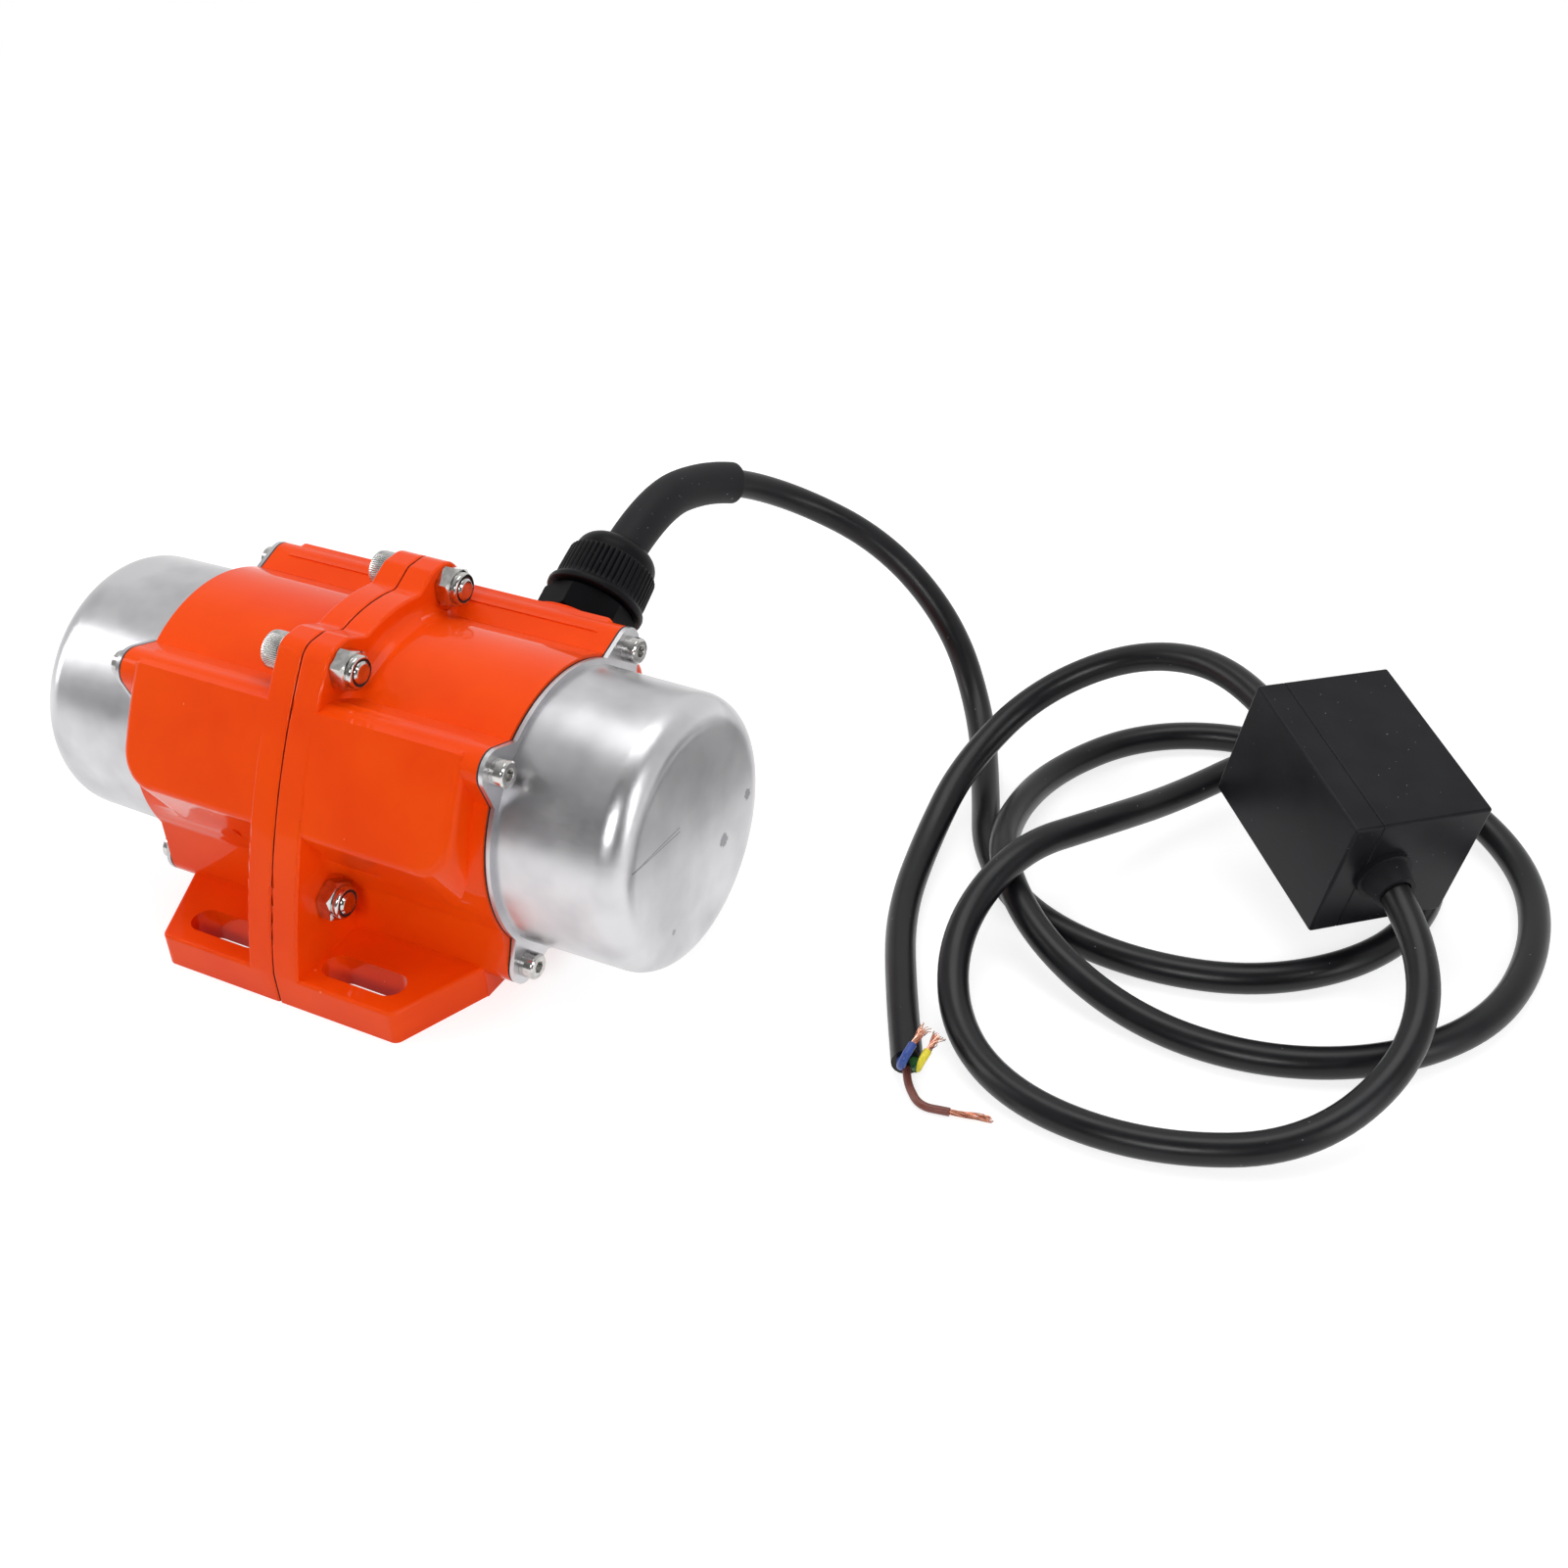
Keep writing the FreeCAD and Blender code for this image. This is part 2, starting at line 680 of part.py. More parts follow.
def fasteners():
    """Flange bolts, lock nuts and their nylon inserts."""
    head_end = "-flange_thickness - bolt_head_height"
    blank = turned("bolt_blank", [
        (head_end, "0"),
        ("bolt_tip", "0"),
        ("bolt_tip", "bolt_shank / 2 - tip_chamfer"),
        ("bolt_tip - tip_chamfer", "bolt_shank / 2"),
        ("-flange_thickness", "bolt_shank / 2"),
        ("-flange_thickness", "bolt_head / 2"),
        (f"{head_end} + head_chamfer", "bolt_head / 2"),
        (head_end, "bolt_head / 2 - head_chamfer"),
    ])
    key = hexagon("bolt_key_cut", "bolt_key", f"{head_end} - 1", f"{head_end} + bolt_key_depth")
    bolt = cut("flange_bolt", blank, key)
    node(group("bolts", *at_bolts("bolt_at", bolt)), "flange_bolts")

    nut_end = "flange_thickness + nut_height"
    hex_part = turned_hexagon("nut_hex", "nut_flats", "flange_thickness",
                              "flange_thickness + nut_hex_height")
    collar = turned("nut_collar_blank", [
        ("flange_thickness", "0"),
        (nut_end, "0"),
        (nut_end, "nut_collar / 2 - nut_collar_round", "nut_collar_round"),
        (f"{nut_end} - nut_collar_round", "nut_collar / 2"),
        ("flange_thickness", "nut_collar / 2"),
    ])
    thread = rod("nut_thread", "bolt_shank / 2 + fit_gap", "flange_thickness - 1", f"{nut_end} + 1")
    pocket = rod("nut_pocket", "insert_diameter / 2 + fit_gap", f"{nut_end} - insert_height",
                 f"{nut_end} + 1")
    nut = cut("lock_nut", fuse("nut_blank", hex_part, collar), thread, pocket)
    node(group("nuts", *at_bolts("nut_at", nut)), "flange_nuts")

    insert = tube("insert", f"{nut_end} - insert_height", f"{nut_end} - insert_depth",
                  "bolt_shank / 2 + fit_gap", "insert_diameter / 2")
    node(group("inserts", *at_bolts("insert_at", insert)), "nut_inserts")


# ------------------------------------------------------------------ end caps
def cap_plate(name, start, end, opening):
    """The outline that the gasket and the cap's flange share, with its four screw holes."""
    disc = at_axis(rod(name + "_disc", "cap_flange_radius", start, end))
    hole = rod(name + "_screw_hole", "cap_screw_shank / 2 + 0.2", f"{start} - 1", f"{end} + 1")
    middle = at_axis(rod(name + "_opening", opening, f"{start} - 1", f"{end} + 1"))
    return cut(name, fuse(name + "_blank", disc, *tabs(name, start, end)), middle,
               *at_screws(name + "_hole_at", hole))


def end_caps():
    gasket_end = "half_body_length + gasket_thickness"
    gasket = cap_plate("gasket", "half_body_length", gasket_end, "cap_radius - 1")
    node(gasket, "cap_gasket_right")
    node(mirrored("gasket_left", gasket, Vector(1, 0, 0)), "cap_gasket_left")

    flange_end = f"{gasket_end} + cap_flange_thickness"
    flange = cap_plate("cap_flange", gasket_end, flange_end, "cap_radius + cap_taper - cap_wall / 2")
    nose = "cap_nose_radius"
    cup = at_axis(turned("cap_cup", [
        (gasket_end, "cap_radius + cap_taper - cap_wall"),
        (f"cap_end - {nose}", "cap_radius - cap_wall", "-(cap_nose_radius - cap_wall)"),
        ("cap_end - cap_wall", f"cap_radius - {nose}"),
        ("cap_end - cap_wall", "0"),
        ("cap_end", "0"),
        ("cap_end", f"cap_radius - {nose}", nose),
        (f"cap_end - {nose}", "cap_radius"),
        (gasket_end, "cap_radius + cap_taper"),
    ]))
    cap = fuse("cap", flange, cup)
    node(cap, "end_cap_right")
    node(mirrored("cap_left", cap, Vector(1, 0, 0)), "end_cap_left")

    head_end = f"{flange_end} + cap_screw_head_height"
    tip = f"{flange_end} - cap_screw_length"
    blank = turned("cap_screw_blank", [
        (tip, "0"),
        (head_end, "0"),
        (head_end, "cap_screw_head / 2 - head_chamfer"),
        (f"{head_end} - head_chamfer", "cap_screw_head / 2"),
        (flange_end, "cap_screw_head / 2"),
        (flange_end, "cap_screw_shank / 2"),
        (f"{tip} + tip_chamfer", "cap_screw_shank / 2"),
        (tip, "cap_screw_shank / 2 - tip_chamfer"),
    ])
    key = hexagon("cap_key", "cap_screw_key", f"{head_end} - cap_screw_key_depth", f"{head_end} + 1")
    screw = cut("cap_screw", blank, key)
    screws = group("screws", *at_screws("screw_at", screw))
    node(screws, "cap_screws_right")
    node(mirrored("screws_left", screws, Vector(1, 0, 0)), "cap_screws_left")


# ------------------------------------------------------------------ stator and rotor
def stator():
    """The lamination stack with its slots, and the winding: two end turns and a bar in every slot."""
    core = tube("core_ring", "-stator_half_length", "stator_half_length", "stator_bore", "stator_radius")
    root = block("slot_root_cut", "-stator_half_length - 1", "stator_half_length + 1",
                 "-slot_breadth / 2", "slot_breadth / 2", "slot_neck", "slot_root")
    mouth = block("slot_mouth_cut", "-stator_half_length - 1", "stator_half_length + 1",
                  "-slot_mouth / 2", "slot_mouth / 2", "stator_bore - 1", "slot_neck + 1")
    slot = fuse("stator_slot", root, mouth)
    stack = cut("stator_stack", core, *ring_of("stator_slot_at", slot, int(number("stator_slots"))))
    node(at_axis(stack), "stator_core")

    reach = "stator_half_length + winding_gap"
    turns = [tube("end_turn_right", reach, "winding_end", "winding_bore", "winding_radius"),
             tube("end_turn_left", "-winding_end", f"-({reach})", "winding_bore", "winding_radius")]
    bar = block("slot_bar", "-stator_half_length - 1", "stator_half_length + 1",
                "winding_gap - slot_breadth / 2", "slot_breadth / 2 - winding_gap",
                "slot_neck + winding_gap + 0.4", "slot_root - winding_gap")
    winding = fuse("winding", *turns, *ring_of("slot_bar_at", bar, int(number("stator_slots"))))
    node(at_axis(winding), "stator_winding")


def rotor():
    """Shaft, lamination stack and cast squirrel cage."""
    groove = "spacer_end + 2 * weight_thickness + 2 * weight_gap"
    keyway_end = "spacer_end + weight_thickness"
    profile = [
        ("shaft_end", "journal_radius"),
        (f"{groove} + circlip_thickness + fit_gap", "journal_radius"),
        (f"{groove} + circlip_thickness + fit_gap", "circlip_groove"),
        (groove, "circlip_groove"),
        (groove, "journal_radius"),
        ("bearing_start", "journal_radius"),
        ("bearing_start", "shaft_radius"),
        ("rotor_ring_end + 1", "shaft_radius"),
        ("rotor_ring_end + 1", "core_seat_radius"),
    ]
    left_profile = [(f"-({x})", radius) for x, radius in reversed(profile)]
    shaft = turned("shaft_blank", [("-shaft_end", "0"), ("shaft_end", "0"), *profile, *left_profile])
    keyways = []
    for side, start, end in (("right", "spacer_end", keyway_end),
                             ("left", f"-({keyway_end})", "-spacer_end")):
        keyways.append(block(f"keyway_{side}", start, end, "-key_width / 2", "key_width / 2",
                             "key_bottom", "journal_radius + 1"))
    node(at_axis(cut("shaft_cut", shaft, *keyways)), "shaft")

    radius = "stator_bore - air_gap"
    stack = tube("rotor_ring", "-rotor_half_length", "rotor_half_length", "core_seat_radius + fit_gap",
                 radius)
    count = int(number("rotor_bars"))
    hole = rod("rotor_bar_hole", "rotor_bar_radius + fit_gap", "-rotor_half_length - 1",
               "rotor_half_length + 1", z="rotor_bar_circle")
    node(at_axis(cut("rotor_stack", stack, *ring_of("rotor_hole", hole, count))), "rotor_core")

    bar = rod("rotor_bar", "rotor_bar_radius", "-rotor_half_length - 1", "rotor_half_length + 1",
              z="rotor_bar_circle")
    rings = [tube("cage_ring_right", "rotor_half_length", "rotor_ring_end", "rotor_ring_bore", radius),
             tube("cage_ring_left", "-rotor_ring_end", "-rotor_half_length", "rotor_ring_bore", radius)]
    node(at_axis(fuse("squirrel_cage", *rings, *ring_of("rotor_bar_at", bar, count))), "rotor_squirrel_cage")


# ------------------------------------------------------------------ bearings
def bearings():
    """A deep-groove ball bearing on each journal, modelled on the right and mirrored."""
    start = "bearing_start"
    end = "bearing_start + bearing_width"
    middle = "bearing_start + bearing_width / 2"
    pitch = "(bearing_outer_land + bearing_inner_land) / 2"
    race = doc.addObject("Part::Torus", "race")
    race.Placement = Placement(Vector(), ALONG_X)
    bind(race, Radius1=pitch, Radius2="ball_radius + race_gap", Placement__Base__x=middle)
    outer = cut("outer_race", tube("outer_blank", start, end, "bearing_outer_land", "bearing_radius"), race)
    inner = cut("inner_race", tube("inner_blank", start, end, "journal_radius + fit_gap / 2",
                                   "bearing_inner_land"), race)

    count = int(number("ball_count"))
    ball = doc.addObject("Part::Sphere", "ball")
    bind(ball, Radius="ball_radius")
    room = doc.addObject("Part::Sphere", "ball_room")
    bind(room, Radius="ball_radius + race_gap * 2")
    doc.recompute()
    balls = []
    rooms = []
    for i in range(count):
        turn = Rotation(Vector(1, 0, 0), i * 360 / count)
        place = Placement(turn.multVec(Vector(number(middle), 0, number(pitch))), Rotation())
        balls.append(copy(f"ball_{i}", ball, place))
        rooms.append(copy(f"ball_room_{i}", room, place))
    cage_half = "ball_radius + cage_margin"
    ring = tube("cage_ring", f"{middle} - ({cage_half})", f"{middle} + {cage_half}",
                f"{pitch} - cage_thickness / 2", f"{pitch} + cage_thickness / 2")
    cage = cut("ball_cage", ring, *rooms)
    ball_set = group("ball_set", *balls)

    land = "bearing_outer_land - fit_gap"
    clear = "bearing_inner_land + 0.2"
    seals = group("seal_pair",
                  tube("seal_in", f"{start} + 0.1", f"{start} + 0.1 + seal_thickness", clear, land),
                  tube("seal_out", f"{end} - 0.1 - seal_thickness", f"{end} - 0.1", clear, land))
    washer = tube("washer", f"{end} + 0.05", f"{end} + 0.05 + washer_thickness", "bearing_outer_land - 1",
                  "bearing_radius - 0.3")
    for thing, label in ((outer, "bearing_outer_ring"), (inner, "bearing_inner_ring"),
                         (ball_set, "bearing_balls"), (cage, "bearing_cage"), (seals, "bearing_seals"),
                         (washer, "wave_washer")):
        both_sides(at_axis(thing), label)


def both_sides(thing, label):
    """A right-hand piece, and its mirror image on the left."""
    right = node(thing, label + "_right")
    node(mirrored(right.Name + "_left", right, Vector(1, 0, 0)), label + "_left")


# ------------------------------------------------------------------ eccentric weights
def weight_blank(name, start, end):
    """A hub with a heavy sector below it, and a web between them."""
    angle = "weight_half_angle"
    side = f"weight_radius * sin({angle})"
    low = f"-weight_radius * cos({angle})"
    sector = plate(name + "_sector", "YZ_Plane", [
        (f"-({side})", low, "weight_radius"),
        (side, low),
        (f"weight_inner_radius * sin({angle})", f"-weight_inner_radius * cos({angle})"),
        ("weight_web_half_width", "0"),
        ("-weight_web_half_width", "0"),
        (f"-weight_inner_radius * sin({angle})", f"-weight_inner_radius * cos({angle})"),
    ], f"({end}) - ({start})")
    bind(sector, Placement__Base__x=start)
    hub = rod(name + "_hub", "weight_hub_radius", start, end)
    bore = rod(name + "_bore", "journal_radius + fit_gap", f"{start} - 1", f"{end} + 1")
    return fuse(name + "_blank", sector, hub), bore


def weights():
    """A keyed weight and an adjustable one, held by its clamp screw, on each end of the shaft."""
    fixed_end = "spacer_end + weight_thickness"
    spacer = tube("spacer", "bearing_start + bearing_width", "spacer_end", "journal_radius + fit_gap",
                  "spacer_radius")
    both_sides(at_axis(spacer), "spacer_sleeve")
    blank, bore = weight_blank("fixed", "spacer_end", fixed_end)
    keyway = block("weight_keyway", "spacer_end - 1", f"{fixed_end} + 1", "-key_width / 2 - fit_gap",
                   "key_width / 2 + fit_gap", "0", "key_top + fit_gap")
    both_sides(at_axis(cut("fixed_weight_cut", blank, bore, keyway)), "fixed_weight")
    both_sides(block("key", "spacer_end + fit_gap", f"{fixed_end} - fit_gap", "fit_gap - key_width / 2",
                     "key_width / 2 - fit_gap", "shaft_height + key_bottom + fit_gap",
                     "shaft_height + key_top"), "weight_key")

    start = f"{fixed_end} + weight_gap"
    end = f"{start} + weight_thickness"
    blank, bore = weight_blank("adjustable", start, end)
    middle = f"{start} + weight_thickness / 2"
    thread = pillar("clamp_thread", "clamp_screw_radius + fit_gap", "journal_radius - 1",
                    "weight_hub_radius + 1", middle)
    both_sides(at_axis(cut("adjustable_weight_cut", blank, bore, thread)), "adjustable_weight")
    screw = pillar("clamp_blank", "clamp_screw_radius", "shaft_height + journal_radius + 0.3",
                   "shaft_height + weight_hub_radius - 0.4", middle)
    both_sides(screw, "clamp_screw")
    clip_start = "spacer_end + 2 * weight_thickness + 2 * weight_gap"
    clip = tube("clip", clip_start, f"{clip_start} + circlip_thickness", "circlip_groove + fit_gap",
                "circlip_radius")
    both_sides(at_axis(clip), "circlip")


# ------------------------------------------------------------------ cable gland
def gland():
    """Body, clamping nut and seal, modelled along X and turned to the gland's own axis."""
    place = gland_place()
    hex_part = turned_hexagon("gland_hex_blank", "gland_hex", "gland_seat", "gland_hex_end")
    screwed = rod("gland_screwed", "gland_thread / 2", "gland_tail", "gland_seat")
    neck = rod("gland_neck", "gland_neck_radius", "gland_hex_end", "gland_neck_end")
    bore = rod("gland_through", "gland_bore", "gland_tail - 1", "jacket_start")
    pocket = rod("gland_pocket", "gland_seal_radius + fit_gap", "jacket_start", "gland_neck_end + 1")
    body = cut("gland_body_cut", fuse("gland_blank", screwed, hex_part, neck), bore, pocket)
    node(group("gland_body_at", copy("gland_body_copy", body, place)), "gland_body")

    dome = "gland_dome_round"
    nut = turned("gland_nut_blank", [
        ("gland_hex_end + fit_gap", "gland_neck_radius + fit_gap"),
        ("gland_neck_end + 0.4", "gland_neck_radius + fit_gap"),
        ("gland_neck_end + 0.4", "sleeve_radius + fit_gap"),
        ("gland_dome_end", "sleeve_radius + fit_gap"),
        ("gland_dome_end", f"gland_dome_radius - {dome}", dome),
        (f"gland_dome_end - {dome}", "gland_dome_radius"),
        ("gland_nut_end", "gland_dome_radius"),
        ("gland_nut_end", "gland_nut_radius"),
        ("gland_ring_end", "gland_nut_radius"),
        ("gland_ring_end", "gland_ring_radius"),
        ("gland_hex_end + fit_gap", "gland_ring_radius"),
    ])
    node(group("gland_nut_at", copy("gland_nut_copy", nut, place)), "gland_nut")
    seal = tube("seal_blank", "jacket_start + 0.1", "gland_neck_end", "cable_radius + cable_gap",
                "gland_seal_radius")
    node(group("gland_seal_at", copy("gland_seal_copy", seal, place)), "gland_seal")


# ------------------------------------------------------------------ cables
def bend_radius(before, point, after):
    """Radius and half turn of the arc at one point of a route."""
    into = point - before
    out = after - point
    half_turn = into.getAngle(out) / 2
    return 0.45 * min(into.Length, out.Length) / math.tan(half_turn), half_turn


def route_edges(points, radii=None):
    """Straight runs joined by tangent arcs."""
    edges = []
    here = points[0]
    for i in range(1, len(points) - 1):
        before, point, after = points[i - 1:i + 2]
        radius, half_turn = bend_radius(before, point, after)
        if radii:
            radius = radii[i - 1]
        into = (point - before).normalize()
        out = (after - point).normalize()
        trim = radius * math.tan(half_turn)
        start = point - into * trim
        end = point + out * trim
        crest = point + (out - into).normalize() * (radius / math.cos(half_turn) - radius)
        edges.append(Part.LineSegment(here, start).toShape())
        edges.append(Part.Arc(start, crest, end).toShape())
        here = end
    edges.append(Part.LineSegment(here, points[-1]).toShape())
    return edges


def swept(edges, radius):
    """A round solid along the edges, and the length of its middle line."""
    wire = Part.Wire(edges)
    first = edges[0]
    start = first.valueAt(first.FirstParameter)
    circle = Part.Wire(Part.Circle(start, first.tangentAt(first.FirstParameter), radius).toShape())
    return wire.makePipeShell([circle], True, True), wire.Length


def cable_piece(name, shape, label):
    feature = doc.addObject("Part::Feature", name)
    feature.Shape = shape
    return node(feature, label)


def routed(x, y, z):
    """A point of a route, in millimetres."""
    return Vector(x, y, z) * number("route_unit")


def box_point(x, y, z):
    return routed(*BOX_PLACE) + BOX_TURN.multVec(Vector(x, y, z))


def gland_point(reach):
    """A point on the gland's axis, that far from the axis of the shaft."""
    angle = math.radians(number("gland_angle"))
    return Vector(number("gland_x"), reach * math.cos(angle), number(AXIS) + reach * math.sin(angle))


MOTOR_CABLE_ROUTE = [
    (38, 111, 77.5), (51, 133.5, 63.5), (76.5, 143.5, 48), (101, 139, 28), (118, 122, 9),
    (131, 95, 4.1), (143, 67, 4.1), (165, 47, 4.1), (196, 41, 4.1), (227, 48, 4.1), (250.5, 70.5, 4.1),
    (257, 99.5, 4.1), (246, 127.5, 4.1), (219.5, 145.5, 4.1), (189, 151, 4.1), (161, 139, 4.1),
    (145, 112, 4.5), (144, 81, 9), (153, 53, 14.5), (174, 32, 9.5), (203, 21, 4.1), (234, 20, 4.1),
    (262, 33, 4.1), (281, 57, 4.1), (285, 88, 4.5), (277, 119, 4.1), (255, 139, 7.5),
    (227.5, 143.5, 12.5), (201.5, 131.5, 14), (184, 104, 11.5), (172.5, 75.5, 19), (158.5, 50, 23.5),
    (152.5, 24, 13.5), (163.5, -1, 5.5), (187, -17, 4.1), (221, -18.5, 4.5), (253.5, -4, 6),
    (269, 27, 14.5),
]
SUPPLY_LEAD_ROUTE = [
    (164.5, 129, 40.5), (138, 116, 28), (126.5, 89.5, 15.5), (127, 63, 7), (132, 36, 4.1),
    (144, 10, 4.1), (158, -15.5, 4.1),
]
LEAD_BEND = 2.6  # bend radius of the three leads inside the gland
EXIT_STEPS = (2, 3)  # how much longer than exit_run each cable's first run from the box is


def cables():
    radius = number("cable_radius")
    inner = number("cable_radius + cable_gap")
    side = number("box_length / 2 - box_wall")
    exit_y = number("exit_y")
    exit_z = number("exit_z")
    exit_runs = [number("exit_run") + step * number("route_unit") for step in EXIT_STEPS]
    motor = [gland_point(number("jacket_start")), gland_point(number("gland_run_end")),
             *[routed(*p) for p in MOTOR_CABLE_ROUTE],
             box_point(side + exit_runs[0], exit_y, exit_z), box_point(side, exit_y, exit_z)]
    supply = [box_point(-side, exit_y, exit_z), box_point(-side - exit_runs[1], exit_y, exit_z),
              *[routed(*p) for p in SUPPLY_LEAD_ROUTE]]
    for name, route, label in (("motor", motor, "motor_cable"), ("supply", supply, "supply_lead")):
        shape, length = swept(route_edges(route), radius)
        print(f"{label} is {length:.1f} long")
        cable_piece(name, shape, label)

    motor_edges = route_edges(motor)
    bend = motor_edges[3].Curve
    first, last = motor_edges[3].ParameterRange
    sleeve_edges = [Part.LineSegment(gland_point(number("sleeve_start")),
                                     motor_edges[1].valueAt(motor_edges[1].FirstParameter)).toShape(),
                    motor_edges[1], motor_edges[2], bend.toShape(first, first + 0.6 * (last - first))]
    outer_shape, _ = swept(sleeve_edges, number("sleeve_radius"))
    hollow, _ = swept(sleeve_edges, inner)
    cable_piece("sleeve", outer_shape.cut(hollow), "cable_sleeve")

    # the stripped cores inside the gland, each bent over to the end turn of the winding
    core = number("core_radius")
    spread = number("core_spread")
    place = gland_place()
    leads = []
    for i in range(3):
        angle = math.radians(30 + 120 * i)
        offset = Vector(0, spread * math.cos(angle), spread * math.sin(angle))
        top = place.multVec(Vector(number("jacket_start"), 0, 0) + offset)
        low = place.multVec(Vector(number("winding_radius") - 4 + 2 * i, 0, 0) + offset)
        end = Vector(number("winding_end"), low.y, low.z)
        leads.append(swept(route_edges([top, low, end], [LEAD_BEND]), core)[0])
    cable_piece("leads", Part.Compound(leads), "motor_leads")

    # the stripped end of the supply lead
    copper = number("copper_radius")
    strands = []
    end = supply[-1]
    ahead = (end - supply[-2]).normalize()
    across = Vector(0, 0, 1).cross(ahead).normalize()
    for label, side, lift, route, tip in (
            ("core_blue", -1.5, 1.1, [(158.4, -20.2, 6.4), (159.2, -19.4, 9.6), (159.2, -15.0, 9.9)],
             (159.6, -8.4, 9.9)),
            ("core_yellow_green", 1.6, 1.0, [(161.8, -18.6, 5.4), (162.8, -17.8, 8.4),
                                             (163.0, -14.6, 8.9)], (163.2, -9.4, 9.1)),
            ("core_brown", -0.3, -1.6, [(160.6, -20.6, 2.0), (165.6, -25.3, 1.3),
                                        (173.0, -24.0, 1.3)], (183.2, -22.2, 1.3))):
        root = end + across * side + Vector(0, 0, lift) + ahead * number("core_gap")
        points = [root, *[routed(*p) for p in route]]
        cable_piece(label + "_solid", swept(route_edges(points), core)[0], label)
        way = routed(*tip) - points[-1]
        start = points[-1] + (points[-1] - points[-2]).normalize() * number("copper_gap")
        strands.append(Part.makeCylinder(copper, way.Length, start, way))
    cable_piece("strands", Part.Compound(strands), "copper_strands")


# ------------------------------------------------------------------ capacitor box
def capacitor_box():
    """Shell, lid, capacitor, potting and grommets, modelled square and turned to where the box lies."""
    place = Placement(routed(*BOX_PLACE), BOX_TURN)
    seam = "box_lid - box_width / 2"
    half_length = "box_length / 2"
    half_height = "box_height / 2"

    def case(name, y0, y1):
        return block(name, f"-{half_length}", half_length, y0, y1, f"-{half_height}", half_height)

    def inside(name, gap, y0, y1):
        length = f"({half_length} - box_wall - {gap})"
        height = f"({half_height} - box_wall - {gap})"
        return block(name, f"-{length}", length, y0, y1, f"-{height}", height)

    def shell_edge(edge):
        box = edge.BoundBox
        return not near(box.YMax, number(seam))

    def lid_edge(edge):
        box = edge.BoundBox
        return not near(box.YMin, number(seam))

    shell = rounded("shell_round", case("shell_case", seam, "box_width / 2"), "box_edge_round", shell_edge)
    lid = rounded("lid_round", case("lid_case", "-box_width / 2", seam), "box_edge_round", lid_edge)
    pocket = inside("shell_pocket", "0", f"{seam} - 1", "box_width / 2 - box_wall")
    hole = rod("exit_hole", "grommet_radius + fit_gap", f"-{half_length} - 1", f"{half_length} + 1",
               "exit_y", "exit_z")
    capacitor = block("capacitor_block", "-capacitor_length / 2", "capacitor_length / 2",
                      "box_width / 2 - box_wall - 2 - capacitor_width", "box_width / 2 - box_wall - 2",
                      "-capacitor_height / 2", "capacitor_height / 2")
    fill = inside("fill_block", "fit_gap", f"{seam} + 1", "box_width / 2 - box_wall - fit_gap")
    room = block("capacitor_room", "-capacitor_length / 2 - fit_gap", "capacitor_length / 2 + fit_gap",
                 "box_width / 2 - box_wall - 2 - capacitor_width - fit_gap",
                 "box_width / 2 - box_wall - 2 + fit_gap",
                 "-capacitor_height / 2 - fit_gap", "capacitor_height / 2 + fit_gap")
    tip = f"{half_length} + grommet_length"
    grommet = turned("grommet", [
        (f"{half_length} - box_wall", "cable_radius + cable_gap"),
        (tip, "cable_radius + cable_gap"),
        (tip, "grommet_tip"),
        (f"{half_length} + grommet_flange_thickness", "grommet_radius + 0.6"),
        (f"{half_length} + grommet_flange_thickness", "grommet_flange"),
        (half_length, "grommet_flange"),
        (half_length, "grommet_radius"),
        (f"{half_length} - box_wall", "grommet_radius"),
    ])
    bind(grommet, Placement__Base__y="exit_y", Placement__Base__z="exit_z")
    grommets = group("grommet_pair", grommet, mirrored("grommet_back", grommet, Vector(1, 0, 0)))
    for name, thing, label in (
            ("shell", cut("shell_cut", shell, pocket, hole), "capacitor_box_shell"),
            ("lid", cut("lid_cut", lid, inside("lid_pocket", "0", "box_wall - box_width / 2",
                                               f"{seam} + 1")), "capacitor_box_lid"),
            ("capacitor", capacitor, "run_capacitor"),
            ("fill", cut("fill_cut", fill, room), "capacitor_potting"),
            ("grommets", grommets, "cable_grommets")):
        at_home = group(name + "_home", thing)
        at_home.Placement = place
        node(at_home, label)


# ------------------------------------------------------------------ build and write
housing()
fasteners()
end_caps()
stator()
rotor()
bearings()
weights()
gland()
cables()
capacitor_box()
doc.recompute()

for thing in doc.Objects:
    if "Invalid" in thing.State or "Error" in thing.State:
        raise SystemExit(f"{thing.Name} failed: {thing.State}")
for part in nodes:
    if part.Shape.isNull() or not part.Shape.isValid() or not part.Shape.Solids:
        raise SystemExit(f"{part.Label} has no sound solid")

os.makedirs("parts", exist_ok=True)
for part in nodes:
    solids = part.Shape.Solids
    whole = solids[0] if len(solids) == 1 else Part.Compound(solids)
    whole.exportStep(f"parts/{part.Label}.step")
print(f"{len(nodes)} sub-parts written")
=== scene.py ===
import json
import math

import bmesh
import bpy
import numpy as np
from mathutils import Matrix, Vector

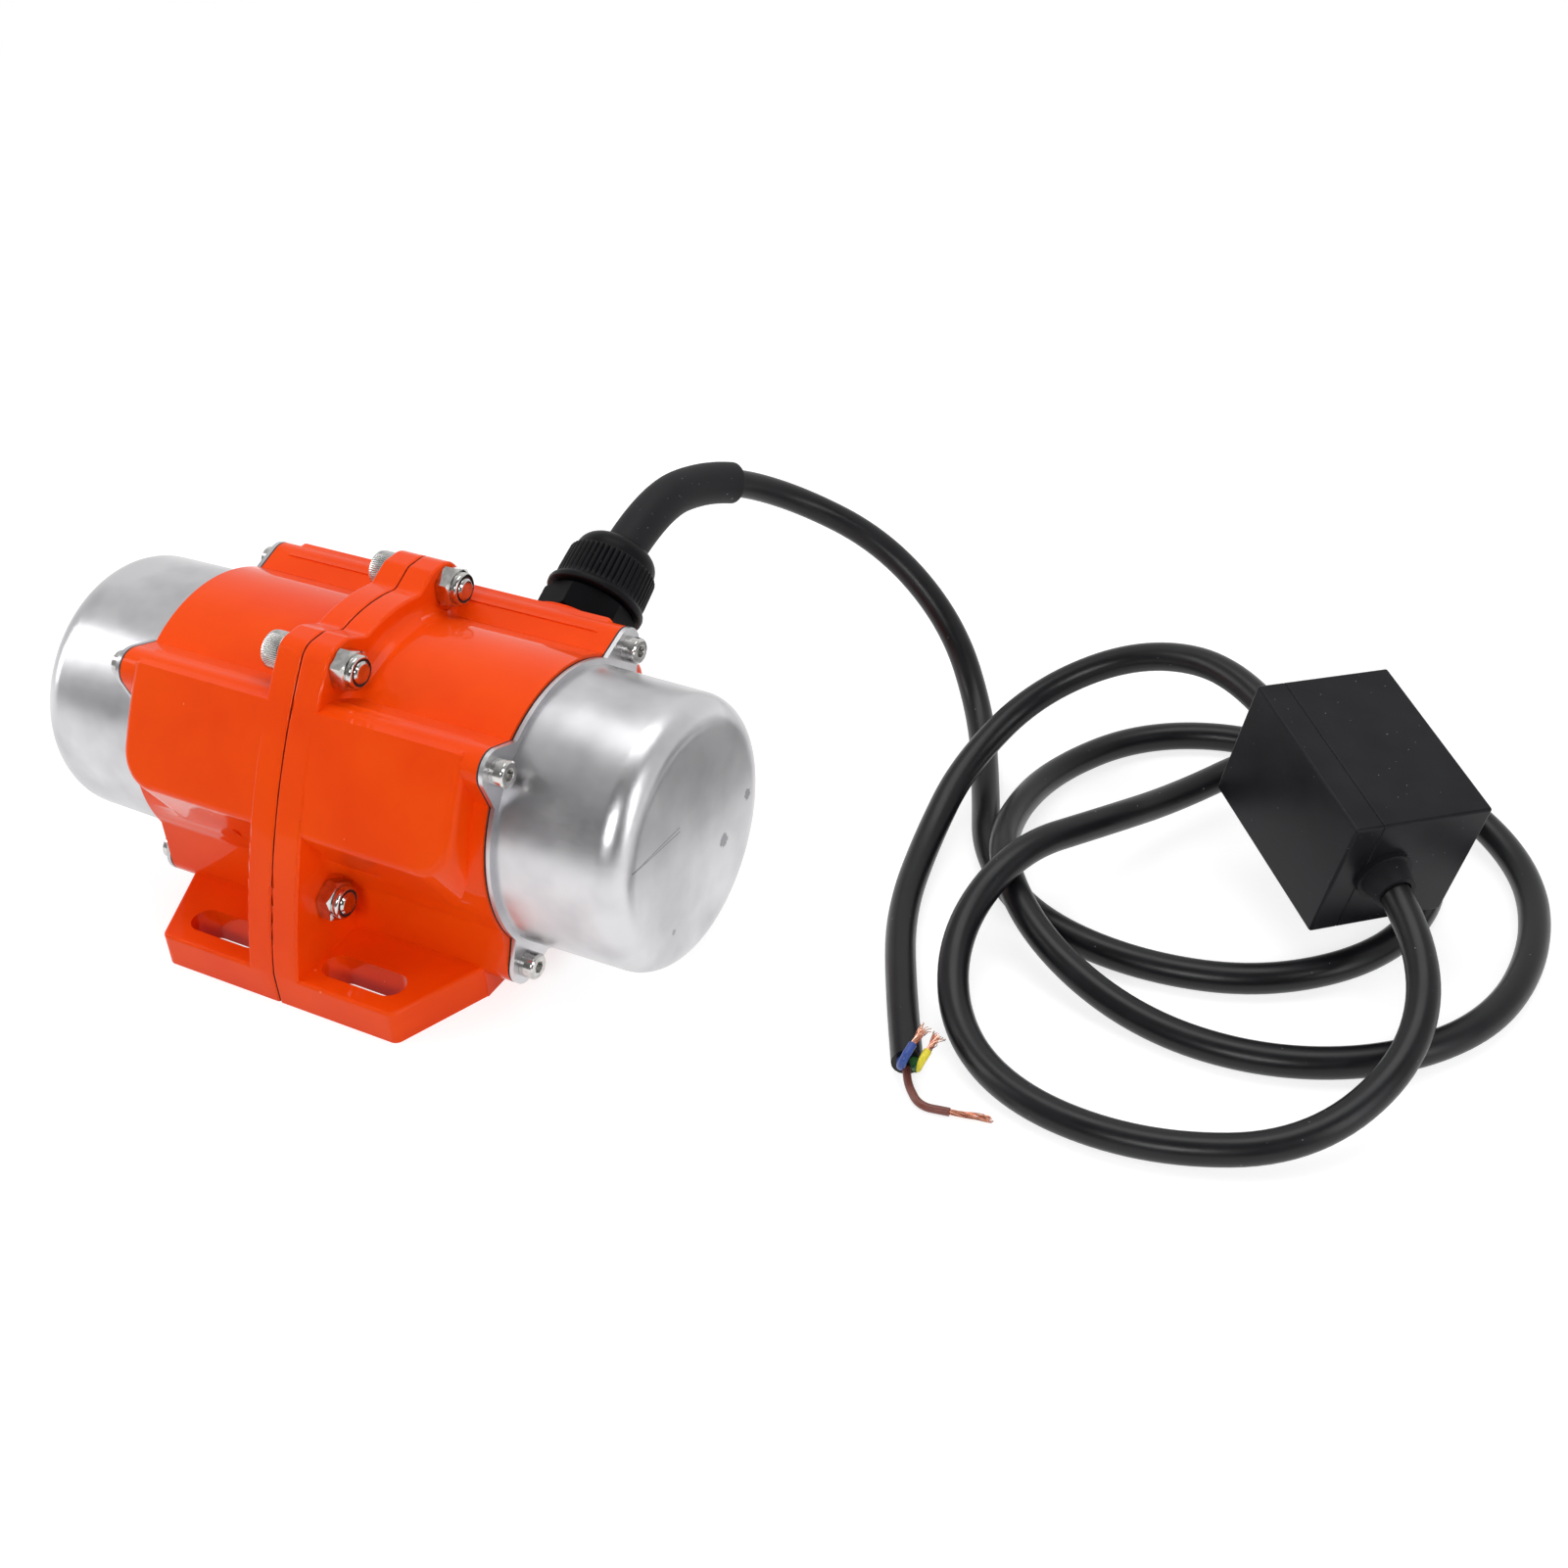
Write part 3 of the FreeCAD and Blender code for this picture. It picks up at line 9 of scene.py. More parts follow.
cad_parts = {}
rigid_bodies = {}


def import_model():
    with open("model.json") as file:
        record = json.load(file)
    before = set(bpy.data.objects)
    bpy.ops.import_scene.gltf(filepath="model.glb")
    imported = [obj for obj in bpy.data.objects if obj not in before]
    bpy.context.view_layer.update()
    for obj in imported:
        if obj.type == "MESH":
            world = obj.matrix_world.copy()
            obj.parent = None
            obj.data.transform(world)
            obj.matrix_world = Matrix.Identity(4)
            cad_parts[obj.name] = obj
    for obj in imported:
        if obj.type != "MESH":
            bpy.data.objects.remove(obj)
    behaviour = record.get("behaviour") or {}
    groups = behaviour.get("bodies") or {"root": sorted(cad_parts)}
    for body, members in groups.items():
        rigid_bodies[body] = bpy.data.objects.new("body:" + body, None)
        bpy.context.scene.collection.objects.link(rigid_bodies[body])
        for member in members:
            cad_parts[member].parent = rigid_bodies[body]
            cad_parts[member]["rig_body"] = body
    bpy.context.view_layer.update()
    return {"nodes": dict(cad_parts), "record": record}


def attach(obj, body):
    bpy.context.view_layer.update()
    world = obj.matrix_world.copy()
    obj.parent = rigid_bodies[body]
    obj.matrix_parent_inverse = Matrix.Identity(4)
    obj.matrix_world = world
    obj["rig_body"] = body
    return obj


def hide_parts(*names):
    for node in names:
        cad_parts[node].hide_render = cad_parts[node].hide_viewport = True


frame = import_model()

# Metres. The frame: +X along the shaft, +Y to the back, +Z up, origin under the middle of the motor.
AXIS_HEIGHT = 0.0405
CABLE = 0.008
GLAND_X = 0.034
GLAND_ANGLE = math.radians(28)
GLAND_RADIAL = np.array([0.0, math.cos(GLAND_ANGLE), math.sin(GLAND_ANGLE)])
SHAFT_MIDDLE = np.array([0.0, 0.0, AXIS_HEIGHT])
ALONG_X = np.array([1.0, 0.0, 0.0])
rng = np.random.default_rng(7)


def gland_point(reach):
    """A point on the gland's axis, that far from the axis of the shaft."""
    return tuple(SHAFT_MIDDLE + ALONG_X * GLAND_X + GLAND_RADIAL * reach)


# ------------------------------------------------------------------ materials
def material(name, colour, roughness, metallic=0.0, specular=0.5):
    """A named material with its plain numbers on the shader, and its node tree to add detail to."""
    made = bpy.data.materials.new(name)
    made.use_nodes = True
    shader = made.node_tree.nodes["Principled BSDF"]
    shader.inputs["Base Color"].default_value = (*colour, 1)
    shader.inputs["Roughness"].default_value = roughness
    shader.inputs["Metallic"].default_value = metallic
    shader.inputs["Specular IOR Level"].default_value = specular
    return made, made.node_tree, shader


def node_of(tree, kind, **values):
    """A shader node with its settings and the values of its sockets."""
    made = tree.nodes.new(kind)
    for key, value in values.items():
        if key in made.inputs:
            made.inputs[key].default_value = value
        else:
            setattr(made, key, value)
    return made


def place_of(tree, stretch=(1, 1, 1)):
    """Object coordinates, stretched along an axis where the finish has a grain."""
    place = node_of(tree, "ShaderNodeTexCoord")
    mapping = node_of(tree, "ShaderNodeMapping")
    mapping.inputs["Scale"].default_value = stretch
    tree.links.new(place.outputs["Object"], mapping.inputs["Vector"])
    return mapping.outputs["Vector"]


def axes_of(tree, reading="Object"):
    """The x, y and z of a coordinate output: "Object" is the place, "Normal" the facing direction."""
    place = node_of(tree, "ShaderNodeTexCoord")
    split = node_of(tree, "ShaderNodeSeparateXYZ")
    tree.links.new(place.outputs[reading], split.inputs["Vector"])
    return split.outputs["X"], split.outputs["Y"], split.outputs["Z"]


def noise(tree, scale, detail=2.0, roughness=0.5, stretch=(1, 1, 1)):
    """Smooth noise from 0 to 1 on Object coordinates; scale is in cells per metre."""
    made = node_of(tree, "ShaderNodeTexNoise", Scale=scale, Detail=detail, Roughness=roughness)
    tree.links.new(place_of(tree, stretch), made.inputs["Vector"])
    return made.outputs["Fac"]


def math_node(tree, operation, first, second=0.0):
    """One step of arithmetic on two values, either of which may be a socket."""
    made = node_of(tree, "ShaderNodeMath", operation=operation)
    for socket, value in zip(made.inputs, (first, second)):
        if isinstance(value, (int, float)):
            socket.default_value = value
        else:
            tree.links.new(value, socket)
    return made.outputs["Value"]


def either(tree, masks):
    """The largest of several masks."""
    largest = masks[0]
    for mask in masks[1:]:
        largest = math_node(tree, "MAXIMUM", largest, mask)
    return largest


def within(tree, value, limit):
    """1 where the value is nearer to zero than the limit, else 0."""
    return math_node(tree, "LESS_THAN", math_node(tree, "ABSOLUTE", value), limit)


def linear(tree, value, slope, offset):
    """slope * value + offset."""
    return math_node(tree, "ADD", math_node(tree, "MULTIPLY", value, slope), offset)


def specks(tree, scale, size, share):
    """Small round dots: cells of the given scale, and a share of them holds a dot up to that size."""
    cells = node_of(tree, "ShaderNodeTexVoronoi", Scale=scale)
    tree.links.new(place_of(tree), cells.inputs["Vector"])
    pick = node_of(tree, "ShaderNodeSeparateColor")
    tree.links.new(cells.outputs["Color"], pick.inputs["Color"])
    chosen = math_node(tree, "LESS_THAN", pick.outputs["Red"], share)
    inside = math_node(tree, "LESS_THAN", cells.outputs["Distance"],
                       math_node(tree, "MULTIPLY", pick.outputs["Green"], size))
    return math_node(tree, "MULTIPLY", chosen, inside)


def ramp(tree, factor, *stops):
    """A ramp through (position, grey or colour) stops."""
    made = node_of(tree, "ShaderNodeValToRGB")
    band = made.color_ramp
    while len(band.elements) < len(stops):
        band.elements.new(0.5)
    for element, (position, value) in zip(band.elements, stops):
        element.position = position
        shade = (value, value, value) if np.isscalar(value) else value
        element.color = (*shade, 1)
    tree.links.new(factor, made.inputs["Fac"])
    return made.outputs["Color"]


def blend(tree, factor, first, second):
    """The first colour where the factor is 0, the second where it is 1."""
    made = node_of(tree, "ShaderNodeMix", data_type="RGBA")
    tree.links.new(factor, made.inputs["Factor"])
    for socket, value in ((made.inputs[6], first), (made.inputs[7], second)):
        if isinstance(value, tuple):
            socket.default_value = (*value, 1)
        else:
            tree.links.new(value, socket)
    return made.outputs[2]


def bump(tree, height, depth, strength=1.0, onto=None):
    """A bump of the given depth; onto is a normal that it adds to."""
    made = node_of(tree, "ShaderNodeBump", Distance=depth, Strength=strength)
    tree.links.new(height, made.inputs["Height"])
    if onto:
        tree.links.new(onto, made.inputs["Normal"])
    return made.outputs["Normal"]


SEAM_BLACK = (0.018, 0.004, 0.003)
SEAM_LEAST = 0.00013
SEAM_UNEVEN = 0.00016
FACES_ALONG_X = 0.9
CHIPS_BELOW = 0.012
CHIP_GREY = (0.75, 0.68, 0.62)
NIB_ORANGE = (0.98, 0.20, 0.07)


def orange_enamel():
    """Glossy stoved enamel with a faint orange peel, a few nibs, and chips low on the foot. A dark
    uneven line shows where the halves meet, but not on the faces between them."""
    made, tree, shader = material("orange_enamel", (0.90, 0.066, 0.001), 0.5, specular=0.05)
    tone = ramp(tree, noise(tree, scale=35, detail=3),
                (0.35, (0.87, 0.058, 0.0008)), (0.65, (0.93, 0.074, 0.001)))
    facing = node_of(tree, "ShaderNodeLayerWeight", Blend=0.35)
    gloss = ramp(tree, facing.outputs["Facing"], (0.30, 0.22), (0.80, 0.9))
    tree.links.new(gloss, shader.inputs["Coat Weight"])
    nibs = specks(tree, scale=330, size=0.14, share=0.05)
    coloured = blend(tree, nibs, tone, NIB_ORANGE)
    x, _, z = axes_of(tree)
    chips = math_node(tree, "MULTIPLY", specks(tree, scale=190, size=0.12, share=0.035),
                      math_node(tree, "LESS_THAN", z, CHIPS_BELOW))
    coloured = blend(tree, chips, coloured, CHIP_GREY)
    width = linear(tree, noise(tree, scale=240), SEAM_UNEVEN, SEAM_LEAST)
    facing_x, _, _ = axes_of(tree, "Normal")
    aside = within(tree, facing_x, FACES_ALONG_X)
    joint = math_node(tree, "MULTIPLY", within(tree, x, width), aside)
    tree.links.new(blend(tree, joint, coloured, SEAM_BLACK), shader.inputs["Base Color"])
    peel = bump(tree, noise(tree, scale=210), depth=0.00006, strength=0.3)
    surface = bump(tree, nibs, depth=0.00012, strength=0.6, onto=peel)
    tree.links.new(surface, shader.inputs["Normal"])
    tree.links.new(surface, shader.inputs["Coat Normal"])
    return made


# Marks on the end of the right cap, in metres: smudges as y, z and mean radius, and scratches as the
# slope and height of the line z = slope * y + height.
CAP_SMUDGES = [(0.0129, 0.0312, 0.0019), (0.0261, 0.0371, 0.0015), (-0.0140, 0.0209, 0.0008)]
CAP_SCRATCHES = [(-0.05, 0.04859), (-0.10, 0.04700)]
SCRATCH_MIDDLE_Y = -0.0179
SCRATCH_HALF_LENGTH = 0.011
SCRATCH_THICKNESS = 0.00034
CAP_END_FROM_X = 0.085
CAP_DULL, CAP_BRIGHT, CAP_WORN = (0.50, 0.495, 0.515), (0.66, 0.655, 0.67), (0.33, 0.33, 0.35)


def cap_marks(tree, x, y, z):
    """1 on the smudges and scratches of the right cap's end, which have ragged edges, else 0."""
    ragged = noise(tree, scale=1300, detail=4, roughness=0.7)
    smudges, scratches = [], []
    for spot_y, spot_z, size in CAP_SMUDGES:
        away_y = math_node(tree, "POWER", math_node(tree, "SUBTRACT", y, spot_y), 2.0)
        away_z = math_node(tree, "POWER", math_node(tree, "SUBTRACT", z, spot_z), 2.0)
        away = math_node(tree, "SQRT", math_node(tree, "ADD", away_y, away_z))
        edge = math_node(tree, "MULTIPLY", ragged, 2.0 * size)
        smudges.append(math_node(tree, "LESS_THAN", away, edge))
    for slope, height in CAP_SCRATCHES:
        above = math_node(tree, "SUBTRACT", z, linear(tree, y, slope, height))
        scratches.append(within(tree, above, math_node(tree, "MULTIPLY", ragged, SCRATCH_THICKNESS)))
    reach = within(tree, math_node(tree, "SUBTRACT", y, SCRATCH_MIDDLE_Y), SCRATCH_HALF_LENGTH)
    scratch = math_node(tree, "MULTIPLY", either(tree, scratches), reach)
    return math_node(tree, "MULTIPLY", either(tree, smudges + [scratch]),
                     math_node(tree, "GREATER_THAN", x, CAP_END_FROM_X))


def drawn_cap_metal():
    """Satin drawn sheet: fine grain and soft clouds, and a few marks on the right cap's end."""
    made, tree, shader = material("drawn_cap_metal", CAP_BRIGHT, 0.3, metallic=1.0)
    grain = noise(tree, scale=1500, detail=4, roughness=0.6, stretch=(0.25, 1, 1))
    clouds = noise(tree, scale=42, detail=3)
    marks = cap_marks(tree, *axes_of(tree))
    tone = ramp(tree, clouds, (0.33, CAP_DULL), (0.58, CAP_BRIGHT))
    tree.links.new(blend(tree, marks, tone, CAP_WORN), shader.inputs["Base Color"])
    rough = linear(tree, grain, 0.10, math_node(tree, "MULTIPLY", clouds, 0.16))
    tree.links.new(math_node(tree, "ADD", rough, 0.19), shader.inputs["Roughness"])
    tree.links.new(bump(tree, grain, depth=0.00002, strength=0.25), shader.inputs["Normal"])
    return made


def bright_plate(name="bright_plate", tone=(0.66, 0.65, 0.63), roughness=0.1):
    """Bright plating with faint turning marks and slightly dull patches."""
    made, tree, shader = material(name, tone, roughness, metallic=1.0)
    turned = noise(tree, scale=2600, detail=3, stretch=(1, 0.05, 0.05))
    dull = noise(tree, scale=500, detail=3)
    tree.links.new(linear(tree, dull, 0.18, roughness - 0.04), shader.inputs["Roughness"])
    tree.links.new(bump(tree, turned, depth=0.00001, strength=0.3), shader.inputs["Normal"])
    low = tuple(0.72 * c for c in tone)
    tree.links.new(ramp(tree, dull, (0.3, low), (0.6, tone)), shader.inputs["Base Color"])
    return made


DUST_GREY = (0.16, 0.16, 0.165)


def dark_polymer(name, tone, roughness, grain, depth, dust=0.0, specular=0.5):
    """Black plastic or rubber: a fine grain, a slightly uneven gloss and, where asked, pale dust."""
    low, high = (tone, tone, tone * 1.25), (tone * 1.5, tone * 1.5, tone * 1.9)
    made, tree, shader = material(name, low, roughness, specular=specular)
    fine = noise(tree, scale=grain, detail=3)
    broad = noise(tree, scale=90, detail=3)
    tree.links.new(linear(tree, broad, 0.16, roughness - 0.08), shader.inputs["Roughness"])
    coloured = ramp(tree, broad, (0.35, low), (0.7, high))
    if dust:
        dots = either(tree, [specks(tree, scale=520, size=0.17, share=dust),
                             specks(tree, scale=1300, size=0.22, share=dust)])
        coloured = blend(tree, dots, coloured, DUST_GREY)
    tree.links.new(coloured, shader.inputs["Base Color"])
    tree.links.new(bump(tree, fine, depth, strength=0.4), shader.inputs["Normal"])
    return made


def plain_finish(name, colour, roughness, metallic=0.0):
    """Inner pieces and wires: their colour with a slight mottle and a fine grain."""
    made, tree, shader = material(name, colour, roughness, metallic)
    fine = noise(tree, scale=700, detail=3)
    low = tuple(0.78 * c for c in colour)
    tree.links.new(ramp(tree, fine, (0.3, low), (0.7, colour)), shader.inputs["Base Color"])
    tree.links.new(bump(tree, fine, depth=0.00002, strength=0.3), shader.inputs["Normal"])
    return made


GREEN_BELOW_X = 0.1622
STRIPE_GREEN = (0.02, 0.11, 0.02)


def earth_core():
    """Yellow insulation with a green stripe along one side."""
    made, tree, shader = material("earth_core", (0.80, 0.68, 0.03), 0.38)
    stripe = math_node(tree, "LESS_THAN", axes_of(tree)[0], GREEN_BELOW_X)
    mottle = ramp(tree, noise(tree, scale=900),
                  (0.3, (0.70, 0.58, 0.02)), (0.7, (0.86, 0.74, 0.05)))
    tree.links.new(blend(tree, stripe, mottle, STRIPE_GREEN), shader.inputs["Base Color"])
    return made


# ------------------------------------------------------------------ meshes
def shown(name, mesh, body, finish, slot, *nodes):
    """Add a finished mesh to the scene: it rides on its body and stands for the CAD nodes, if any."""
    piece = bpy.data.objects.new(name, mesh)
    bpy.context.scene.collection.objects.link(piece)
    mesh.materials.clear()
    mesh.materials.append(finish)
    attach(piece, body)
    if nodes:
        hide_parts(*nodes)
    return piece


def crease(work, degrees):
    """Smooth shading with sharp edges where two faces meet at more than the angle."""
    limit = math.radians(degrees)
    for face in work.faces:
        face.smooth = True
    for edge in work.edges:
        edge.smooth = len(edge.link_faces) == 2 and edge.calc_face_angle(0) < limit


def flatten_shading(piece):
    """Let the larger faces set the shading, so that a flat face beside a round stays flat."""
    weight = piece.modifiers.new("even_shading", "WEIGHTED_NORMAL")
    weight.keep_sharp = True
    weight.weight = 60


CAD_MERGE = 1e-6
GRID_MERGE = 1e-7
FLAT_ANGLE = math.radians(0.1)


def dressed(node, finish, slot, degrees=28, bevel=None):
    """A merged copy of a CAD node's mesh with smooth shading, which stands for the node. With a bevel,
    its flat areas become single faces first, and its edges are then rounded by that much."""
    source = frame["nodes"][node]
    mesh = source.data.copy()
    work = bmesh.new()
    work.from_mesh(mesh)
    bmesh.ops.remove_doubles(work, verts=work.verts, dist=CAD_MERGE)
    if bevel:
        bmesh.ops.dissolve_limit(work, angle_limit=FLAT_ANGLE, verts=work.verts, edges=work.edges)
    crease(work, degrees)
    work.to_mesh(mesh)
    work.free()
    piece = shown(node + "_look", mesh, source["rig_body"], finish, slot, node)
    if bevel:
        cut = piece.modifiers.new("edges", "BEVEL")
        cut.width = bevel
        cut.segments = 2
        cut.limit_method = "ANGLE"
        cut.use_clamp_overlap = False
        cut.angle_limit = math.radians(degrees)
    flatten_shading(piece)
    return piece


def carried(name, path, along, radius, side, turns=48, closed=False):
    """A profile carried along a path. The surface is P(s) + r(s, a) * (cos a * N + sin a * B). P(s) is
    the point at distance s along the path, N and B are square to the path there, and a runs once round.
    The radius r is given for each s, or for each s and a. Closed joins the last ring to the first."""
    path = np.asarray(path, float)
    along = np.asarray(along, float)
    steps = np.linalg.norm(np.diff(path, axis=0), axis=1)
    reach = np.concatenate([[0.0], np.cumsum(steps)])
    centre = np.stack([np.interp(along, reach, path[:, k]) for k in range(3)], axis=1)
    slope = np.gradient(path, reach, axis=0)
    ahead = np.stack([np.interp(along, reach, slope[:, k]) for k in range(3)], axis=1)
    ahead /= np.linalg.norm(ahead, axis=1, keepdims=True)
    normal = np.cross(np.asarray(side, float), ahead)
    normal /= np.linalg.norm(normal, axis=1, keepdims=True)
    binormal = np.cross(ahead, normal)
    angle = np.linspace(0, 2 * math.pi, turns, endpoint=False)
    radius = np.asarray(radius, float)
    if radius.ndim == 1:
        radius = np.repeat(radius[:, None], turns, axis=1)
    outward = (np.cos(angle)[None, :, None] * normal[:, None]
               + np.sin(angle)[None, :, None] * binormal[:, None])
    points = centre[:, None] + radius[..., None] * outward
    rings = len(along)
    row = np.arange(rings if closed else rings - 1)[:, None]
    column = np.arange(turns)[None, :]
    below = row * turns
    above = ((row + 1) % rings) * turns
    beside = (column + 1) % turns
    faces = np.stack([below + column, below + beside, above + beside, above + column], axis=2)
    return mesh_of(name, points.reshape(-1, 3), faces.reshape(-1, 4))


def mesh_of(name, points, faces, degrees=35):
    """A mesh from arrays, with seams and poles closed and faces outwards."""
    mesh = bpy.data.meshes.new(name)
    mesh.from_pydata(points.tolist(), [], faces.tolist())
    work = bmesh.new()
    work.from_mesh(mesh)
    bmesh.ops.remove_doubles(work, verts=work.verts, dist=GRID_MERGE)
    bmesh.ops.recalc_face_normals(work, faces=work.faces)
    crease(work, degrees)
    work.to_mesh(mesh)
    work.free()
    return mesh


def joined(name, meshes):
    """Several meshes as one."""
    work = bmesh.new()
    for mesh in meshes:
        work.from_mesh(mesh)
    whole = bpy.data.meshes.new(name)
    work.to_mesh(whole)
    work.free()
    return whole


# ------------------------------------------------------------------ cables
# Control points in metres: from inside the gland to the box, and from the box to the cut-back end.
MOTOR_CABLE_ROUTE = [
    gland_point(0.058), gland_point(0.0901),
    (0.038, 0.111, 0.0775), (0.051, 0.1335, 0.0635), (0.0765, 0.1435, 0.048), (0.101, 0.139, 0.028),
    (0.118, 0.122, 0.009), (0.131, 0.095, 0.0041), (0.143, 0.067, 0.0041), (0.165, 0.047, 0.0041),
    (0.196, 0.041, 0.0041), (0.227, 0.048, 0.0041), (0.2505, 0.0705, 0.0041), (0.257, 0.0995, 0.0041),
    (0.246, 0.1275, 0.0041), (0.2195, 0.1455, 0.0041), (0.189, 0.151, 0.0041), (0.161, 0.139, 0.0041),
    (0.145, 0.112, 0.0045), (0.144, 0.081, 0.009), (0.153, 0.053, 0.0145), (0.174, 0.032, 0.0095),
    (0.203, 0.021, 0.0041), (0.234, 0.02, 0.0041), (0.262, 0.033, 0.0041), (0.281, 0.057, 0.0041),
    (0.285, 0.088, 0.0045), (0.277, 0.119, 0.0041), (0.255, 0.139, 0.0075), (0.2275, 0.1435, 0.0125),
    (0.2015, 0.1315, 0.014), (0.184, 0.104, 0.0115), (0.1725, 0.0755, 0.019), (0.1585, 0.05, 0.0235),
    (0.1525, 0.024, 0.0135), (0.1635, -0.001, 0.0055), (0.187, -0.017, 0.0041),
    (0.221, -0.0185, 0.0045), (0.2535, -0.004, 0.006), (0.269, 0.027, 0.0145),
    (0.2622, 0.0556, 0.0257), (0.2454, 0.072, 0.0307),
]
SUPPLY_LEAD_ROUTE = [
    (0.2124, 0.1041, 0.0404), (0.1949, 0.1211, 0.0456),
    (0.1645, 0.129, 0.0405), (0.138, 0.116, 0.028), (0.1265, 0.0895, 0.0155), (0.127, 0.063, 0.007),
    (0.132, 0.036, 0.0041), (0.144, 0.01, 0.0041), (0.158, -0.0155, 0.0041),
]


def smooth_line(name, route):
    """One smooth quadratic NURBS curve with the route's points as its control points."""
    curve = bpy.data.curves.new(name, "CURVE")
    curve.dimensions = "3D"
    spline = curve.splines.new("NURBS")
    spline.points.add(len(route) - 1)
    for point, place in zip(spline.points, route):
        point.co = (*place, 1)
    spline.order_u = 3
    spline.use_endpoint_u = True
    spline.resolution_u = 12
    return curve


def cable(name, route, finish):
    """The round jacket of a cable."""
    curve = smooth_line(name, route)
    curve.bevel_depth = CABLE / 2
    curve.bevel_resolution = 7
    curve.use_fill_caps = True
    piece = bpy.data.objects.new(name, curve)
    bpy.context.scene.collection.objects.link(piece)
    curve.materials.append(finish)
    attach(piece, "motor")
    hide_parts(name.replace("_jacket", ""))
    return piece


def line_points(route):
    """The points of a route's smooth curve, in order."""
    curve = smooth_line("guide", route)
    holder = bpy.data.objects.new("guide", curve)
    mesh = bpy.data.meshes.new_from_object(holder)
    places = np.empty(len(mesh.vertices) * 3)
    mesh.vertices.foreach_get("co", places)
    bpy.data.objects.remove(holder)
    bpy.data.meshes.remove(mesh)
    bpy.data.curves.remove(curve)
    places = places.reshape(-1, 3)
    keep = np.concatenate([[True], np.linalg.norm(np.diff(places, axis=0), axis=1) > 1e-6])
    return places[keep]


SLEEVE_START = 0.010
SLEEVE_LENGTH = 0.0585
SLEEVE_OUTER = 0.006
SLEEVE_INNER = 0.00405
SLEEVE_LIP = 0.0005
OUTER_RINGS = 60
BORE_RINGS = 40


def sleeve(finish):
    """The protective sleeve over the cable: a tube carried along the cable's line. Its radius is the
    outer one up to a quarter round at the square-cut end, and then the inner one all the way back."""
    end = SLEEVE_START + SLEEVE_LENGTH
    lip = np.linspace(0, math.pi / 2, 5)
    along = np.concatenate([np.linspace(SLEEVE_START, end - SLEEVE_LIP, OUTER_RINGS),
                            end - SLEEVE_LIP + SLEEVE_LIP * np.sin(lip),
                            np.linspace(end, SLEEVE_START, BORE_RINGS)])
    radius = np.concatenate([np.full(OUTER_RINGS, SLEEVE_OUTER),
                             SLEEVE_OUTER - SLEEVE_LIP + SLEEVE_LIP * np.cos(lip),
                             np.full(BORE_RINGS, SLEEVE_INNER)])
    path = line_points(MOTOR_CABLE_ROUTE)
    mesh = carried("cable_sleeve_look", path, along, radius, ALONG_X, turns=56, closed=True)
    return shown("cable_sleeve_look", mesh, "motor", finish, "rubber", "cable_sleeve")


# ------------------------------------------------------------------ gland and screws
def ridged(base, depth, count, turns, sharpness):
    """Radii round a ridged part: base + depth * |cos(count * a / 2)| ** sharpness, a once round."""
    angle = np.linspace(0, 2 * math.pi, turns, endpoint=False)
    crest = np.abs(np.cos(count * angle / 2)) ** sharpness
    return np.asarray(base)[:, None] + np.asarray(depth)[:, None] * crest[None, :]


NUT_RIDGES = 50
FACES_PER_NUT_RIDGE = 8
# The nut's outside from its skirt to its dome: distance from the shaft's axis, radius, and ridge depth.
NUT_REACH = [0.0567, 0.0567, 0.0570, 0.0580, 0.0586, 0.0590, 0.0594, 0.0600, 0.0610, 0.0620, 0.0680,
             0.0688, 0.0692, 0.0694, 0.0696, 0.0696, 0.0697, 0.0699, 0.0703]
NUT_RADIUS = [0.0098, 0.0136, 0.0140, 0.0141, 0.0139, 0.0134, 0.0129, 0.01255, 0.0124, 0.0124,
              0.0122, 0.0122, 0.01215, 0.0120, 0.0118, 0.01172, 0.01166, 0.01165, 0.01165]
NUT_RIDGE_DEPTH = [0, 0, 0, 0, 0, 0.00005, 0.0002, 0.0004, 0.0006, 0.00065, 0.00065, 0.0006, 0.0005,
                   0.0001, 0, 0, 0, 0, 0]
DOME_END = 0.0755
DOME_RADIUS = 0.01165
DOME_ROUND = 0.005
NUT_BORE = 0.0061
BORE_DEPTH = 0.006
CHAMFER_ALONG, CHAMFER_ACROSS = 0.0006, 0.0003


def gland_nut(finish):
    """The clamping nut, a ridged profile carried along the gland's axis: a flared skirt, a ledge, a
    band of fine straight ridges, and a dome that ends in a quarter round of DOME_ROUND, with a bore."""
    turns = NUT_RIDGES * FACES_PER_NUT_RIDGE
    bend = np.linspace(0, math.pi / 2, 9)
    reach = np.concatenate([NUT_REACH, DOME_END - DOME_ROUND + DOME_ROUND * np.sin(bend),
                            [DOME_END, DOME_END - CHAMFER_ALONG, DOME_END - BORE_DEPTH]])
    outer = np.concatenate([NUT_RADIUS, DOME_RADIUS - DOME_ROUND + DOME_ROUND * np.cos(bend),
                            [NUT_BORE + CHAMFER_ACROSS, NUT_BORE, NUT_BORE]])
    depth = np.concatenate([NUT_RIDGE_DEPTH, np.zeros(len(reach) - len(NUT_RIDGE_DEPTH))])
    path = np.array([gland_point(d) for d in (0.0, 0.1)])
    radius = ridged(outer, depth, NUT_RIDGES, turns, sharpness=0.6)
    mesh = carried("gland_nut_look", path, reach, radius, ALONG_X, turns, closed=True)
    return shown("gland_nut_look", mesh, "motor", finish, "gland_plastic", "gland_nut")


BOLT_PLACES = [(-0.0220, 0.0822), (0.0220, 0.0822), (-0.0433, 0.0250), (0.0433, 0.0250)]
BOLT_HEAD_X = (-0.0136, -0.0080)
BOLT_RIDGES = 52
FACES_PER_BOLT_RIDGE = 6


